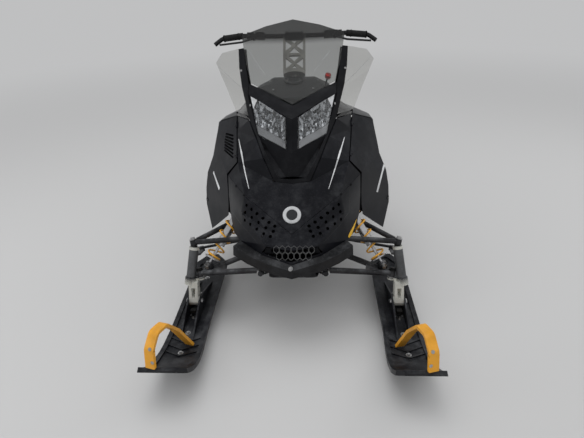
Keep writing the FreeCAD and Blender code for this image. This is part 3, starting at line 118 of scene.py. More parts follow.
def makeCamera(c):
    yaw, pitch, roll = (math.radians(c[k]) for k in ("yaw", "pitch", "roll"))
    ahead = Vector((math.sin(yaw) * math.cos(pitch), math.cos(yaw) * math.cos(pitch), -math.sin(pitch)))
    right = Vector((math.cos(yaw), -math.sin(yaw), 0))
    up = right.cross(ahead)
    turnedRight = right * math.cos(roll) + up * math.sin(roll)
    turnedUp = up * math.cos(roll) - right * math.sin(roll)
    turn = Matrix((turnedRight, turnedUp, -ahead)).transposed()
    data = bpy.data.cameras.new("camera")
    data.lens = c["lens"]
    data.sensor_width = sensorWidth
    data.clip_end = 100
    camera = bpy.data.objects.new("camera", data)
    camera.matrix_world = Matrix.Translation(at(*c["place"])) @ turn.to_4x4()
    scene.collection.objects.link(camera)
    scene.camera = camera


makeCamera(cameraSet)

lightSet = {
    "world": 0.56,
    "backdrop": 0.53,
    "sky": (0.985, 0.99, 1.0, 1),
    "floor": (0.56, 0.56, 0.56, 1),
    "sun": dict(watts=0.55, wide=70, tip=(12, 6)),
    "target": (0, -0.2, 0.5),
    "areas": [  # place, size, watts
        ((-0.6, -0.6, 4.8), 3.2, 60),
        ((-3.6, -2.4, 2.4), 2.0, 24),
        ((3.4, 0.6, 2.6), 2.0, 16),
    ],
}


def newLight(name, kind, watts):
    data = bpy.data.lights.new(name, kind)
    data.energy = watts
    lamp = bpy.data.objects.new(name, data)
    lamp.visible_glossy = False
    scene.collection.objects.link(lamp)
    return lamp


def makeLights(s):
    world = bpy.data.worlds.new("sky")
    scene.world = world
    world.use_nodes = True
    tree = world.node_tree
    direct = newNode(tree, "LightPath", {}).outputs["Is Camera Ray"]
    glow = math2(tree, "MULTIPLY_ADD", direct, s["backdrop"] - s["world"], s["world"])
    feed(tree.nodes["Background"], {"Color": s["sky"], "Strength": glow})
    for k, (place, size, watts) in enumerate(s["areas"]):
        lamp = newLight("softLight%d" % k, "AREA", watts)
        lamp.data.size = size
        lamp.data.specular_factor = 0.0
        lamp.visible_transmission = False
        lamp.location = place
        lamp.rotation_euler = (Vector(s["target"]) - Vector(place)).to_track_quat("-Z", "Y").to_euler()
    overcast = newLight("overcast", "SUN", s["sun"]["watts"])
    overcast.data.angle = math.radians(s["sun"]["wide"])
    overcast.rotation_euler = [math.radians(angle) for angle in (*s["sun"]["tip"], 0)]


makeLights(lightSet)
scene.view_settings.view_transform = "Standard"
print("camera and lights set")


# shader groups


def shaderGroup(name, inputs, outputs, make):
    group = bpy.data.node_groups.new(name, "ShaderNodeTree")
    for way, labels in (("INPUT", inputs), ("OUTPUT", outputs)):
        for label in labels:
            group.interface.new_socket(name=label, in_out=way, socket_type="NodeSocketFloat")
    made = make(group, group.nodes.new("NodeGroupInput").outputs)
    end = group.nodes.new("NodeGroupOutput")
    for label, value in zip(outputs, made):
        group.links.new(value, end.inputs[label])
    return group


# mask on the rounded edges, from the bevel normal: partly real edge wear, partly a painted highlight along
# the edges
def edgeWearAndHighlight(group, given):
    bevel = newNode(group, "Bevel", {"Radius": 0.0016}, samples=4).outputs["Normal"]
    face = newNode(group, "NewGeometry", {}).outputs["Normal"]
    dot = newNode(group, "VectorMath", {0: bevel, 1: face}, operation="DOT_PRODUCT").outputs["Value"]
    patches = ramp(group, noiseOf(group, objectPlace(group), 26, 5, 0.65), 0.45, 0.62)
    wornAndHighlight = times(group, ramp(group, dot, 0.995, 0.93), patches)
    return [times(group, wornAndHighlight, given["Amount"], clamp=True)]


def mouldedGrain(group, given):
    place = objectPlace(group)
    fine = noiseOf(group, place, given["Grain"], 3, 0.6)
    return [fine, ramp(group, noiseOf(group, place, 7, 4, 0.6), 0.3, 0.7)]


def frostFilm(group, given):
    normal = newNode(group, "NewGeometry", {}).outputs["Normal"]
    upward = ramp(group, newNode(group, "SeparateXYZ", {0: normal}).outputs["Z"], 0.1, 0.95, 0.25, 1.0)
    place = objectPlace(group)
    low = ramp(group, newNode(group, "SeparateXYZ", {0: place}).outputs["Z"], given["Height"], 0.0)
    cloud = ramp(group, noiseOf(group, place, 11, 8, 0.7), 0.42, 0.72)
    specks = ramp(group, noiseOf(group, place, 160, 3, 0.7), 0.55, 0.68)
    both = math2(group, "ADD", cloud, times(group, specks, 0.5), clamp=True)
    return [times(group, times(group, times(group, both, upward), low), given["Amount"], clamp=True)]


def scratchLines(group, given):
    lines = ramp(group, noiseOf(group, objectPlace(group, (420, 9, 420)), 1, 2, 0.5, 0.4), 0.66, 0.74)
    patches = ramp(group, noiseOf(group, objectPlace(group), 5, 3), 0.4, 0.65)
    return [times(group, times(group, lines, patches), given["Amount"], clamp=True)]


shaderGroups = {
    "wearAndHighlight": shaderGroup("edgeWearAndHighlight", ["Amount"], ["Mask"], edgeWearAndHighlight),
    "grain": shaderGroup("mouldedGrain", ["Grain"], ["Height", "Mottle"], mouldedGrain),
    "frost": shaderGroup("frost", ["Amount", "Height"], ["Mask"], frostFilm),
    "scratch": shaderGroup("scratches", ["Amount"], ["Mask"], scratchLines),
}


def addGroup(tree, key, **inputs):
    return newNode(tree, "Group", inputs, node_tree=shaderGroups[key]).outputs


# finishes: colour, roughness and its spread, grain and its depth in mm, then what differs from the plain
# finish: edge wear that is partly a painted highlight along the edges, and scratches, in the worn colour;
# frost up to a height in metres. One number is a grey.
plainFinish = dict(metal=0, spec=0.3, wearAndHighlight=0, wornAndHighlight=0.12, scratch=0, frost=0, height=1.2)
finishes = {
    "skiPlastic": ((0.0065, 0.007, 0.0092), 0.42, 0.18, 700, 0.05, dict(
        spec=0.2, wearAndHighlight=0.5, wornAndHighlight=0.1, scratch=0.3, frost=0.08, height=0.9)),
    "loopOrange": ((0.7, 0.32, 0.022), 0.42, 0.15, 800, 0.04, dict(
        wearAndHighlight=0.35, wornAndHighlight=(0.9, 0.55, 0.2), scratch=0.25, frost=0.12, height=0.9)),
    "runnerSteel": ((0.36, 0.35, 0.34), 0.38, 0.2, 500, 0.05, dict(
        metal=1.0, wearAndHighlight=0.6, wornAndHighlight=(0.62, 0.62, 0.61), scratch=0.8)),
    "spindleAlloy": ((0.36, 0.37, 0.37), 0.46, 0.2, 420, 0.1, dict(
        metal=0.85, wearAndHighlight=0.8, wornAndHighlight=(0.62, 0.63, 0.63), frost=0.25)),
    "spindleGrey": ((0.075, 0.077, 0.08), 0.42, 0.2, 420, 0.08, dict(
        metal=0.4, wearAndHighlight=0.7, wornAndHighlight=0.3, frost=0.25)),
    "spindleBright": ((0.5, 0.5, 0.46), 0.42, 0.2, 420, 0.08, dict(
        metal=0.35, wearAndHighlight=0.5, wornAndHighlight=(0.66, 0.66, 0.62), frost=0.15)),
    "armBlack": ((0.0095, 0.0095, 0.011), 0.42, 0.2, 600, 0.08, dict(wearAndHighlight=0.6, frost=0.22)),
    "shockAlloy": ((0.55, 0.55, 0.56), 0.28, 0.15, 300, 0.03, dict(metal=1.0, wearAndHighlight=0.2, wornAndHighlight=0.7)),
    "springYellow": ((0.66, 0.33, 0.03), 0.3, 0.15, 500, 0.03, dict(
        spec=0.5, wearAndHighlight=0.5, wornAndHighlight=(0.4, 0.28, 0.12), frost=0.1)),
    "frameAlloy": ((0.42, 0.43, 0.44), 0.4, 0.2, 300, 0.05, dict(
        metal=0.9, wearAndHighlight=0.4, wornAndHighlight=0.62, frost=0.25)),
    "engineGrey": ((0.1, 0.1, 0.105), 0.55, 0.2, 260, 0.2, dict(metal=0.6, wearAndHighlight=0.3, wornAndHighlight=0.3)),
    "bodyBlack": ((0.005, 0.0054, 0.0076), 0.34, 0.12, 1100, 0.02, dict(
        spec=0.13, wearAndHighlight=0.3, wornAndHighlight=(0.07, 0.072, 0.078), frost=0.05, height=2.0)),
    "trimBlack": ((0.0046, 0.0048, 0.0062), 0.5, 0.12, 800, 0.06, dict(
        spec=0.12, wearAndHighlight=0.35, wornAndHighlight=(0.07, 0.07, 0.075), frost=0.06, height=1.6)),
    "tunnelAlloy": ((0.26, 0.265, 0.27), 0.4, 0.2, 260, 0.03, dict(
        metal=0.9, wearAndHighlight=0.5, wornAndHighlight=0.5, scratch=0.6, frost=0.3, height=0.9)),
    "seatVinyl": ((0.012, 0.012, 0.014), 0.48, 0.1, 420, 0.22, dict(
        wearAndHighlight=0.15, wornAndHighlight=0.05, frost=0.05, height=2.0)),
    "flapRubber": (0.012, 0.62, 0.12, 380, 0.1, dict(
        spec=0.22, wearAndHighlight=0.3, wornAndHighlight=0.08, frost=0.16, height=0.9)),
    "tailRed": ((0.36, 0.01, 0.01), 0.12, 0.05, 100, 0.02, dict(wearAndHighlight=0.1, wornAndHighlight=(0.5, 0.1, 0.1))),
    "trackRubber": ((0.013, 0.013, 0.014), 0.66, 0.14, 300, 0.16, dict(
        spec=0.22, wearAndHighlight=0.7, wornAndHighlight=0.1, frost=0.4, height=0.9)),
    "wheelBlack": ((0.014, 0.014, 0.016), 0.5, 0.12, 500, 0.08, dict(
        spec=0.28, wearAndHighlight=0.5, frost=0.25, height=0.9)),
    "barBlack": ((0.0095, 0.0095, 0.0105), 0.4, 0.15, 700, 0.05, dict(wearAndHighlight=0.5, wornAndHighlight=0.14)),
    "gripRubber": (0.01, 0.62, 0.12, 500, 0.1, dict(spec=0.22, wearAndHighlight=0.2, wornAndHighlight=0.07)),
    "riserGrey": ((0.4, 0.39, 0.36), 0.42, 0.15, 500, 0.04, dict(
        metal=0.3, wearAndHighlight=0.3, wornAndHighlight=(0.55, 0.55, 0.52))),
    "capRed": ((0.5, 0.03, 0.025), 0.42, 0.1, 600, 0.04, dict(wearAndHighlight=0.3, wornAndHighlight=(0.6, 0.15, 0.12))),
    "stripeWhite": ((0.62, 0.63, 0.64), 0.36, 0.1, 600, 0.01, dict(wearAndHighlight=0.2, wornAndHighlight=0.5)),
    "boltSteel": (0.42, 0.35, 0.15, 400, 0.03, dict(metal=1.0, wearAndHighlight=0.3, wornAndHighlight=0.7)),
    "chromeLamp": ((0.42, 0.43, 0.44), 0.06, 0.03, 60, 0.15, dict(metal=1.0)),
    "lampSilver": ((0.2, 0.205, 0.21), 0.3, 0.1, 400, 0.02, dict(metal=0.4, spec=0.5)),
    "lampWhite": ((0.86, 0.87, 0.88), 0.35, 0.05, 400, 0.0, dict(spec=0.5)),
    "badgeSilver": ((0.52, 0.53, 0.54), 0.28, 0.08, 400, 0.01, dict(metal=0.5, spec=0.5)),
    # lighter than the body: painted highlight along the nose's creases
    "creaseHighlightGrey": ((0.022, 0.023, 0.026), 0.34, 0.1, 700, 0.0, {}),
    # painted highlight on the folds of the deflectors and the screen
    "foldHighlight": ((0.32, 0.33, 0.33), 0.3, 0.1, 400, 0.0, dict(spec=0.5)),
    # the next two also colour reflector facets as painted reflections of the lamp's dark inside; the second
    # is also the dark face of the gauge and the badge
    "paintedReflectionGrey": ((0.13, 0.135, 0.14), 0.3, 0.1, 400, 0.05, dict(metal=0.5)),
    "darkFaceAndReflection": ((0.01, 0.012, 0.014), 0.1, 0.04, 200, 0.0, dict(spec=0.5)),
    # near-black matte: painted shade in the sheet behind the front shells, also the colour of the dark seals
    # and strips
    "shadeAndSealBlack": ((0.003, 0.003, 0.0035), 0.9, 0.05, 200, 0.0, dict(spec=0.05)),
    "dashGrey": ((0.03, 0.031, 0.032), 0.55, 0.12, 700, 0.06, dict(spec=0.25)),
    "bumperGrey": ((0.01, 0.0103, 0.0115), 0.4, 0.14, 700, 0.05, dict(spec=0.2, wearAndHighlight=0.4, frost=0.12)),
    "stripYellow": ((0.72, 0.42, 0.03), 0.34, 0.12, 600, 0.02, dict(wearAndHighlight=0.5, wornAndHighlight=(0.35, 0.25, 0.1))),
    "meshGrey": ((0.055, 0.056, 0.055), 0.5, 0.15, 500, 0.04, dict(frost=0.35, height=2.0)),
}

finishLook = dict(lighter=1.22, lift=0.002, darker=0.82, bump=0.6, film=(0.55, 0.57, 0.60))
roughening = {"wearAndHighlight": 0, "scratch": 0.2, "frost": 0.5}


def shade(colour):
    return colour if isinstance(colour, tuple) else (colour, colour, colour)


def newMaterial(name):
    material = bpy.data.materials.new(name)
    material.use_nodes = True
    tree = material.node_tree
    return material, tree, tree.nodes["Principled BSDF"]


def makeFinish(name, look, colour, rough, spread, grain, depth, more):
    f = {**plainFinish, **more}
    material, tree, shader = newMaterial(name)
    surface = addGroup(tree, "grain", Grain=grain)
    light = tuple(min(1.0, c * look["lighter"] + look["lift"]) for c in shade(colour))
    dark = tuple(c * look["darker"] for c in shade(colour))
    colour = mixColour(tree, surface["Mottle"], dark, light)
    rough = ramp(tree, surface["Mottle"], 0.0, 1.0, rough - spread / 2, rough + spread / 2)
    for key, added in roughening.items():
        if f[key]:
            inputs = {"Amount": f[key], "Height": f["height"]} if key == "frost" else {"Amount": f[key]}
            mask = addGroup(tree, key, **inputs)["Mask"]
            colour = mixColour(tree, mask, colour, look["film"] if key == "frost" else shade(f["wornAndHighlight"]))
            if added:
                rough = math2(tree, "MULTIPLY_ADD", mask, added, rough, clamp=True)
    feed(shader, {"Base Color": colour, "Roughness": rough})
    feed(shader, {"Metallic": f["metal"], "Specular IOR Level": f["spec"]})
    if depth:
        inputs = {"Strength": look["bump"], "Distance": depth / 1000, "Height": surface["Height"]}
        feed(shader, {"Normal": newNode(tree, "Bump", inputs).outputs["Normal"]})
    return material


finish = {name: makeFinish(name, finishLook, *values) for name, values in finishes.items()}

glassSet = {  # tint, roughness, dust, what a shadow ray passes, how dark the upper band is
    "lensClear": dict(tint=(0.97, 0.98, 0.99), rough=0.02, dust=0.03, shadow=0.9, band=0.0),
    "screenSmoke": dict(tint=(0.50, 0.51, 0.50), rough=0.01, dust=0.02, shadow=0.7, band=0.85),
    "deflectorClear": dict(tint=(0.80, 0.80, 0.78), rough=0.02, dust=0.05, shadow=0.8, band=0.0),
}
glassLook = dict(refraction=1.49, bandFoot=1.20, bandTop=1.235, dark=0.08, dustColour=(0.50, 0.51, 0.52))


def makeGlass(name, g, look):
    material, tree, shader = newMaterial(name)
    place = objectPlace(tree)
    film = ramp(tree, noiseOf(tree, place, 9, 7, 0.7), 0.42, 0.75, 0.0, g["dust"])
    height = newNode(tree, "SeparateXYZ", {0: place}).outputs["Z"]
    band = ramp(tree, height, look["bandFoot"], look["bandTop"], 0.0, g["band"])
    tinted = mixColour(tree, band, g["tint"], tuple(c * look["dark"] for c in g["tint"]))
    shadow = newNode(tree, "LightPath", {}).outputs["Is Shadow Ray"]
    feed(shader, {
        "Transmission Weight": 1.0,
        "IOR": look["refraction"],
        "Base Color": mixColour(tree, film, tinted, look["dustColour"]),
        "Roughness": math2(tree, "MULTIPLY_ADD", film, 0.6, g["rough"], clamp=True),
        "Alpha": math2(tree, "MULTIPLY_ADD", shadow, -g["shadow"], 1.0),
    })
    return material


finish.update({name: makeGlass(name, values, glassLook) for name, values in glassSet.items()})
print("materials made:", len(finish))

# which finish each CAD node takes, bevel in mm, and the least angle in degrees that is bevelled
dressing = {
    "ski": ("skiPlastic", 1, 30), "ski_runner": ("runnerSteel", 0.4, 40), "ski_loop": ("loopOrange", 2, 40),
    "spindle": ("spindleAlloy", 0.8, 40), "tie_rod": ("armBlack", 0.6, 40),
    "side_panel": ("bodyBlack", 2, 24), "upper_arms": ("armBlack", 0.8, 40),
    "lower_arms": ("armBlack", 0.8, 40), "shocks": ("shockAlloy", 0.6, 40),
    "shock_springs": ("springYellow", 0, 40), "front_frame": ("armBlack", 0.6, 40),
    "engine": ("engineGrey", 4, 40), "hood": ("bodyBlack", 2, 24), "nose": ("bodyBlack", 1.4, 24),
    "front_bumper": ("bumperGrey", 2.4, 24), "belly_pan": ("trimBlack", 1.2, 20),
    "grille": ("trimBlack", 0.5, 30), "lamp_surround": ("trimBlack", 1.4, 20),
    "headlamp_lenses": ("lensClear", 0.8, 30), "windshield_frame": ("trimBlack", 1.6, 24),
    "windshield": ("screenSmoke", 0, 30), "side_deflectors": ("deflectorClear", 0, 30),
    "tunnel": ("tunnelAlloy", 0.8, 30), "running_boards": ("tunnelAlloy", 0.8, 30),
    "seat": ("seatVinyl", 6, 20), "tank": ("bodyBlack", 6, 24), "console": ("dashGrey", 4, 24),
    "rear_bumper": ("barBlack", 0, 40), "snow_flap": ("flapRubber", 1.2, 30),
    "tail_lamp": ("tailRed", 2, 30), "track": ("trackRubber", 1.2, 30),
    "slide_rails": ("frameAlloy", 0.8, 30), "rear_axle": ("wheelBlack", 0.8, 40),
    "drive_axle": ("wheelBlack", 0.8, 40), "skid_arms": ("armBlack", 0.6, 40),
    "handlebar": ("barBlack", 0.5, 40), "grips": ("gripRubber", 0.5, 40), "levers": ("barBlack", 0.6, 40),
    "cowls": ("bodyBlack", 2, 24),
}


def kindOf(nodeName):
    return nodeName.removesuffix("_left").removesuffix("_right")


def addBevel(o, width, angle):
    bevel = o.modifiers.new("bevel", "BEVEL")
    bevel.width = width / 1000
    bevel.segments = 2
    bevel.limit_method = "ANGLE"
    bevel.angle_limit = math.radians(angle)
    return bevel


def softenEdges(o, bevelWidth, angle):
    if o.data.attributes.get("custom_normal"):
        o.data.attributes.remove(o.data.attributes["custom_normal"])
    for face in o.data.polygons:
        face.use_smooth = True
    weld = o.modifiers.new("weld", "WELD")
    weld.merge_threshold = 0.00002
    if bevelWidth:
        addBevel(o, bevelWidth, angle).miter_outer = "MITER_ARC"
    normals = o.modifiers.new("normals", "WEIGHTED_NORMAL")
    normals.weight = 50 if bevelWidth else 80
    normals.keep_sharp = False


for nodeName, node in nodes.items():
    finishName, bevelWidth, angle = dressing[kindOf(nodeName)]
    node.data.materials.clear()
    node.data.materials.append(finish[finishName])
    softenEdges(node, bevelWidth, angle)
print("nodes dressed")


# building blocks for the added pieces, sizes in mm


def smoothRoute(points, bend, steps=5):
    route = [points[0]]
    for before, corner, after in zip(points, points[1:], points[2:]):
        a, b = before - corner, after - corner
        reach = min(bend, a.length * 0.45, b.length * 0.45)
        start, end = corner + a.normalized() * reach, corner + b.normalized() * reach
        for k in range(steps + 1):
            t = k / steps
            route.append(start * (1 - t) ** 2 + corner * 2 * t * (1 - t) + end * t * t)
    route.append(points[-1])
    return route


def ends(count, layers):
    last = (layers - 1) * count
    return [tuple(reversed(range(count))), tuple(last + j for j in range(count))]


def wall(count, layers):
    return [(low + j, low + (j + 1) % count, low + count + (j + 1) % count, low + count + j)
            for low in range(0, (layers - 1) * count, count) for j in range(count)]


def sweep(path, ring):
    verts = []
    side = across((path[1] - path[0]).normalized())[0]
    for k, p in enumerate(path):
        new = (path[min(k + 1, len(path) - 1)] - path[max(k - 1, 0)]).normalized()
        side = (side - new * side.dot(new)).normalized()
        up = side.cross(new)
        verts.extend(p + side * (a / 1000) + up * (b / 1000) for a, b in ring)
    return verts, wall(len(ring), len(path)) + ends(len(ring), len(path))


def circle(radius, sides):
    turns = [2 * math.pi * k / sides for k in range(sides)]
    return [(radius * math.cos(turn), radius * math.sin(turn)) for turn in turns]


def oblong(a, b):
    return [(-a, -b), (a, -b), (a, b), (-a, b)]


def across(axis):
    side = axis.cross(Vector((0, 0, 1)))
    side = side.normalized() if side.length > 0.05 else Vector((1, 0, 0))
    return side, axis.cross(side).normalized()


def turned(foot, axis, profile, sides=20):
    axis = axis.normalized()
    side, up = across(axis)
    verts = []
    for radius, reach in profile:
        for a, b in circle(max(radius, 0.02) / 1000, sides):
            verts.append(foot + axis * (reach / 1000) + side * a + up * b)
    return verts, wall(sides, len(profile)) + ends(sides, len(profile))


def slab(outline, depth):
    count = len(outline)
    return list(outline) + [p + depth for p in outline], wall(count, 2) + ends(count, 2)


def brick(middle, size, turn=None):
    half = Vector(size) / 2000
    corners = [Vector((a * half.x, b * half.y, c * half.z)) for c in (-1, 1) for a, b in oblong(1, 1)]
    if turn:
        corners = [turn @ p for p in corners]
    return [middle + p for p in corners], wall(4, 2) + ends(4, 2)


def axes(along, normal):
    return Matrix((along, normal.cross(along).normalized(), normal)).transposed()


def hexBolt(place, axis, size):
    washer = [(size * 1.9, 0), (size * 1.95, size * 0.08), (size * 1.9, size * 0.3)]
    head = [(size * 1.15, size * 0.3), (size * 1.15, size * 1.05), (size * 0.95, size * 1.3)]
    return [turned(place, axis, washer, 16), turned(place, axis, head, 6)]


def dome(place, axis, radius, height):
    profile = [(radius, 0), (radius * 0.96, height * 0.45), (radius * 0.7, height * 0.85), (0, height)]
    return [turned(place, axis, profile, 14)]


def socketScrew(place, axis, radius, height):
    rim, hole = radius * 0.52, height * 0.45
    outside = [(radius, 0), (radius, height * 0.8), (radius * 0.9, height)]
    return [turned(place, axis, outside + [(rim, height), (rim, hole), (0, hole)], 14)]


def fasten(kind, spots, sink, *sizes):
    parts = []
    for point, normal in spots:
        parts += kind(point - normal * (sink / 1000), normal, *sizes)
    return parts


def mirrorMesh(part):
    verts, faces = part
    return [flip(p) for p in verts], [tuple(reversed(f)) for f in faces]


def addPiece(name, parts, finishName, body="chassis", sharp=35, bevel=0):
    mesh = bpy.data.meshes.new(name)
    verts, faces = [], []
    for v, f in parts:
        start = len(verts)
        verts.extend(v)
        faces.extend(tuple(i + start for i in face) for face in f)
    mesh.from_pydata([tuple(v) for v in verts], [], faces)
    build = bmesh.new()
    build.from_mesh(mesh)
    bmesh.ops.recalc_face_normals(build, faces=build.faces)
    build.to_mesh(mesh)
    build.free()
    mesh.polygons.foreach_set("use_smooth", [True] * len(mesh.polygons))
    mesh.set_sharp_from_angle(angle=math.radians(sharp))
    mesh.materials.append(finish[finishName])
    o = bpy.data.objects.new(name, mesh)
    scene.collection.objects.link(o)
    if bevel:
        addBevel(o, bevel, sharp)
    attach(o, body)
    return o


def bothSides(name, parts, finishName, body="chassis", **options):
    if body in ("chassis", "steering_bars"):
        return addPiece(name, parts + [mirrorMesh(part) for part in parts], finishName, body, **options)
    addPiece(name + "Left", parts, finishName, body + "_left", **options)
    parts = [mirrorMesh(part) for part in parts]
    return addPiece(name + "Right", parts, finishName, body + "_right", **options)


trees = {}


def treeOf(nodeName):
    if nodeName not in trees:
        o = nodes[nodeName]
        corners = [o.matrix_world @ v.co for v in o.data.vertices]
        trees[nodeName] = BVHTree.FromPolygons(corners, [tuple(f.vertices) for f in o.data.polygons])
    return trees[nodeName]


def facing(normal, ahead):
    return normal if normal.dot(ahead) < 0 else -normal


def lay(nodeName, place, ahead):
    found = treeOf(nodeName).ray_cast(place - ahead.normalized() * 0.3, ahead.normalized())
    if found[0] is None:
        found = treeOf(nodeName).find_nearest(place)
    return found[0], facing(found[1], ahead)


def cameraRay(u, v):
    c = scene.camera
    scale = sensorWidth / cameraSet["lens"] / photoWidth
    local = Vector(((u - photoWidth / 2) * scale, (photoHeight / 2 - v) * scale, -1))
    return c.matrix_world.translation.copy(), (c.matrix_world.to_3x3() @ local).normalized()


def seen(nodeName, u, v):
    start, ahead = cameraRay(u, v)
    found = treeOf(nodeName).ray_cast(start, ahead)
    return (None, None) if found[0] is None else (found[0], facing(found[1], ahead))


def hit(u, v, *names):
    for nodeName in names:
        point, normal = seen(nodeName, u, v)
        if point is not None:
            return point, normal
    start, ahead = cameraRay(u, v)
    point, normal = treeOf(names[0]).find_nearest(start + ahead * 1.8)[:2]
    return point, facing(normal, ahead)


def onPlane(u, v, back):
    start, ahead = cameraRay(u, v)
    return start + ahead * ((at(0, back, 0).y - start.y) / ahead.y)


def strip(rows):
    verts, faces = [], []
    for k, row in enumerate(rows):
        verts.extend(row)
        if k:
            a = 3 * k
            faces.extend([(a - 3, a - 2, a + 1, a), (a - 2, a - 1, a + 2, a + 1)])
    return verts, faces


def drape(name, nodeName, line, finishName, body="chassis", lift=0.3, pieces=12):  # line: u, v, width in mm
    spots = []
    for first, second in zip(line, line[1:]):
        for k in range(pieces):
            spots.append([a + (b - a) * (k / pieces) for a, b in zip(first, second)])
    spots.append(line[-1])
    rail = [(*seen(nodeName, u, v), width) for u, v, width in spots]
    rail = [(p, normal, width) for p, normal, width in rail if p is not None]
    rows = []
    for k, (p, normal, width) in enumerate(rail):
        along = (rail[min(k + 1, len(rail) - 1)][0] - rail[max(k - 1, 0)][0]).normalized()
        side = normal.cross(along).normalized() * (width / 2000)
        feet = [treeOf(nodeName).find_nearest(p + side * shift)[:2] for shift in (-1, 0, 1)]
        rows.append([q + m * (lift / 1000) for q, m in feet])
    return addPiece(name, [strip(rows)], finishName, body, sharp=60)


print("tools ready")

# painted shade: a near-black matte sheet just behind the front shells, seen through their holes and gaps

shadeSheet = dict(
    reach=0.38, rise=0.98, foot=-0.37, start=3, cell=0.011, behind=0.015, outward=4, outer=0.19,
    floor=0.40, sideFloor=0.475, lag=0.006, step=0.02, tear=0.05,
)


def makeShadeSheet(s):
    ahead = Vector((0, 0.8, -0.6))
    side, up = Vector((1, 0, 0)), Vector((0, 0.6, 0.8))
    fixed = ["nose", "hood", "grille", "cowls"]
    moving = ["side_panel_left", "side_panel_right"]
    columns, rows = int(2 * s["reach"] / s["cell"]) + 1, int(s["rise"] / s["cell"])
    origin = side * -s["reach"] + up * s["foot"] - ahead * s["start"]

    def foot(i, j):
        return origin + side * (i * s["cell"]) + up * (j * s["cell"])

    def nearest(i, j, names):
        found = [treeOf(n).ray_cast(foot(i, j), ahead)[3] for n in names]
        found = [d for d in found if d is not None]
        return min(found) if found else None

    own = {(i, j): nearest(i, j, fixed) for i in range(columns) for j in range(rows)}
    depth = {}
    for (i, j), d in own.items():
        near = sorted(own[i + a, j + b] for a in (-1, 0, 1) for b in (-1, 0, 1)
                      if (a or b) and own.get((i + a, j + b)) is not None)
        if len(near) > 4 and (d is None or d > near[len(near) // 2] + s["step"]):
            d = near[len(near) // 2]
        if d is not None and (foot(i, j) + ahead * d).z > s["floor"]:
            depth[i, j] = d + s["behind"]
    middle = columns // 2
    for _ in range(s["outward"]):
        added = {}
        for i, j in own:
            inner = (i - 1 if i > middle else i + 1, j)
            if (i, j) in depth or inner not in depth or abs(i - middle) * s["cell"] < s["outer"]:
                continue
            if (foot(*inner) + ahead * depth[inner]).z < s["sideFloor"]:
                continue
            shut = nearest(i, j, moving)
            if shut is not None and shut < depth[inner] + s["tear"]:
                added[i, j] = max(shut + s["behind"] + s["lag"], depth[inner])
            else:
                added[i, j] = depth[inner] + s["lag"]
        depth.update(added)
    index, verts, faces = {}, [], []
    for (i, j), d in depth.items():
        index[i, j] = len(verts)
        verts.append(foot(i, j) + ahead * d)
    for i, j in depth:
        ring = [(i, j), (i + 1, j), (i + 1, j + 1), (i, j + 1)]
        depths = [depth[c] for c in ring if c in index]
        if len(depths) == 4 and max(depths) - min(depths) < s["tear"]:
            faces.append(tuple(index[c] for c in ring))
    addPiece("frontShadeSheet", [(verts, faces)], "shadeAndSealBlack")


makeShadeSheet(shadeSheet)

# headlamp reflectors behind the lenses, from the lens's upper and lower edge

lamp = dict(
    top=[(33, 250, 936), (85, 289, 960), (140, 329, 984), (198, 369, 1008)],
    low=[(31, 194, 806), (70, 211, 824), (120, 233, 842), (158, 253, 858)],
    depth=4.5, bulge=27, jitter=7, columns=16, rows=7, strip=0.74, corner=(0.80, 0.34), margin=0.985,
    bulbs=((0.68, 0.36), (0.26, 0.40)), bulbDepth=20,
    shell=[(17, -6), (18, 0), (16.5, 3), (11, -4), (0, -6)],
    tip=[(6, -5), (6, 4), (4.5, 7.5), (0, 9)],
)
lampInward = Vector((0, 0.956, -0.292))


def along(line, share):
    place = share * (len(line) - 1)
    k = min(int(place), len(line) - 2)
    return at(*(a + (b - a) * (place - k) for a, b in zip(line[k], line[k + 1])))


def lampSpot(s, across, fall, depth):
    top, low = along(s["top"], across), along(s["low"], across)
    return top + (low - top) * fall + lampInward * (depth / 1000)


def makeReflectors(s):
    verts, faces = [], []
    wide = s["columns"] + 1
    for j in range(s["rows"] + 1):
        for i in range(wide):
            a, t = i / s["columns"], j / s["rows"]
            edge = i in (0, s["columns"]) or j in (0, s["rows"])
            bulge = s["bulge"] * math.sin(math.pi * t) * math.sin(math.pi * a)
            wobble = 0 if edge else (dice.random() - 0.5) * 2 * s["jitter"] + (3 if i % 2 else -3)
            verts.append(lampSpot(s, a, t * s["strip"], s["depth"] + bulge + max(wobble, -bulge)))
    for j in range(s["rows"]):
        for i in range(s["columns"]):
            a = j * wide + i
            faces.extend([(a, a + 1, a + wide + 1), (a, a + wide + 1, a + wide)])
    mirror = bothSides("reflectors", [(verts, faces)], "chromeLamp", sharp=1)
    # grey and dark facets mixed among the chrome: painted reflections of the lamp's dark inside
    for finishName in ("paintedReflectionGrey", "darkFaceAndReflection"):
        mirror.data.materials.append(finish[finishName])
    tones = [dice.choice((0, 0, 0, 0, 1, 1, 2)) for _ in faces]
    for face, tone in zip(mirror.data.polygons, tones + tones):
        face.material_index = tone
    edge, drop = s["corner"]
    band = [lampSpot(s, k / 8, s["strip"] + 0.015, 3) for k in range(9)]
    band += [lampSpot(s, k / 8, s["margin"], 3) for k in reversed(range(9))]
    white = [lampSpot(s, a, t, 2.5) for a, t in ((edge, 0.01), (s["margin"], 0.01), (s["margin"], drop))]
    bothSides("lampStrips", [slab(band, lampInward * 0.002)], "lampSilver")
    bothSides("lampCorners", [slab(white, lampInward * 0.002)], "lampWhite")
    spots = [lampSpot(s, a, t, s["bulbDepth"]) for a, t in s["bulbs"]]
    bothSides("lampShells", [turned(p, -lampInward, s["shell"], 24) for p in spots], "chromeLamp")
    bothSides("bulbs", [turned(p, -lampInward, s["tip"], 14) for p in spots], "lampSilver")


makeReflectors(lamp)

# badge on the hood, left blank

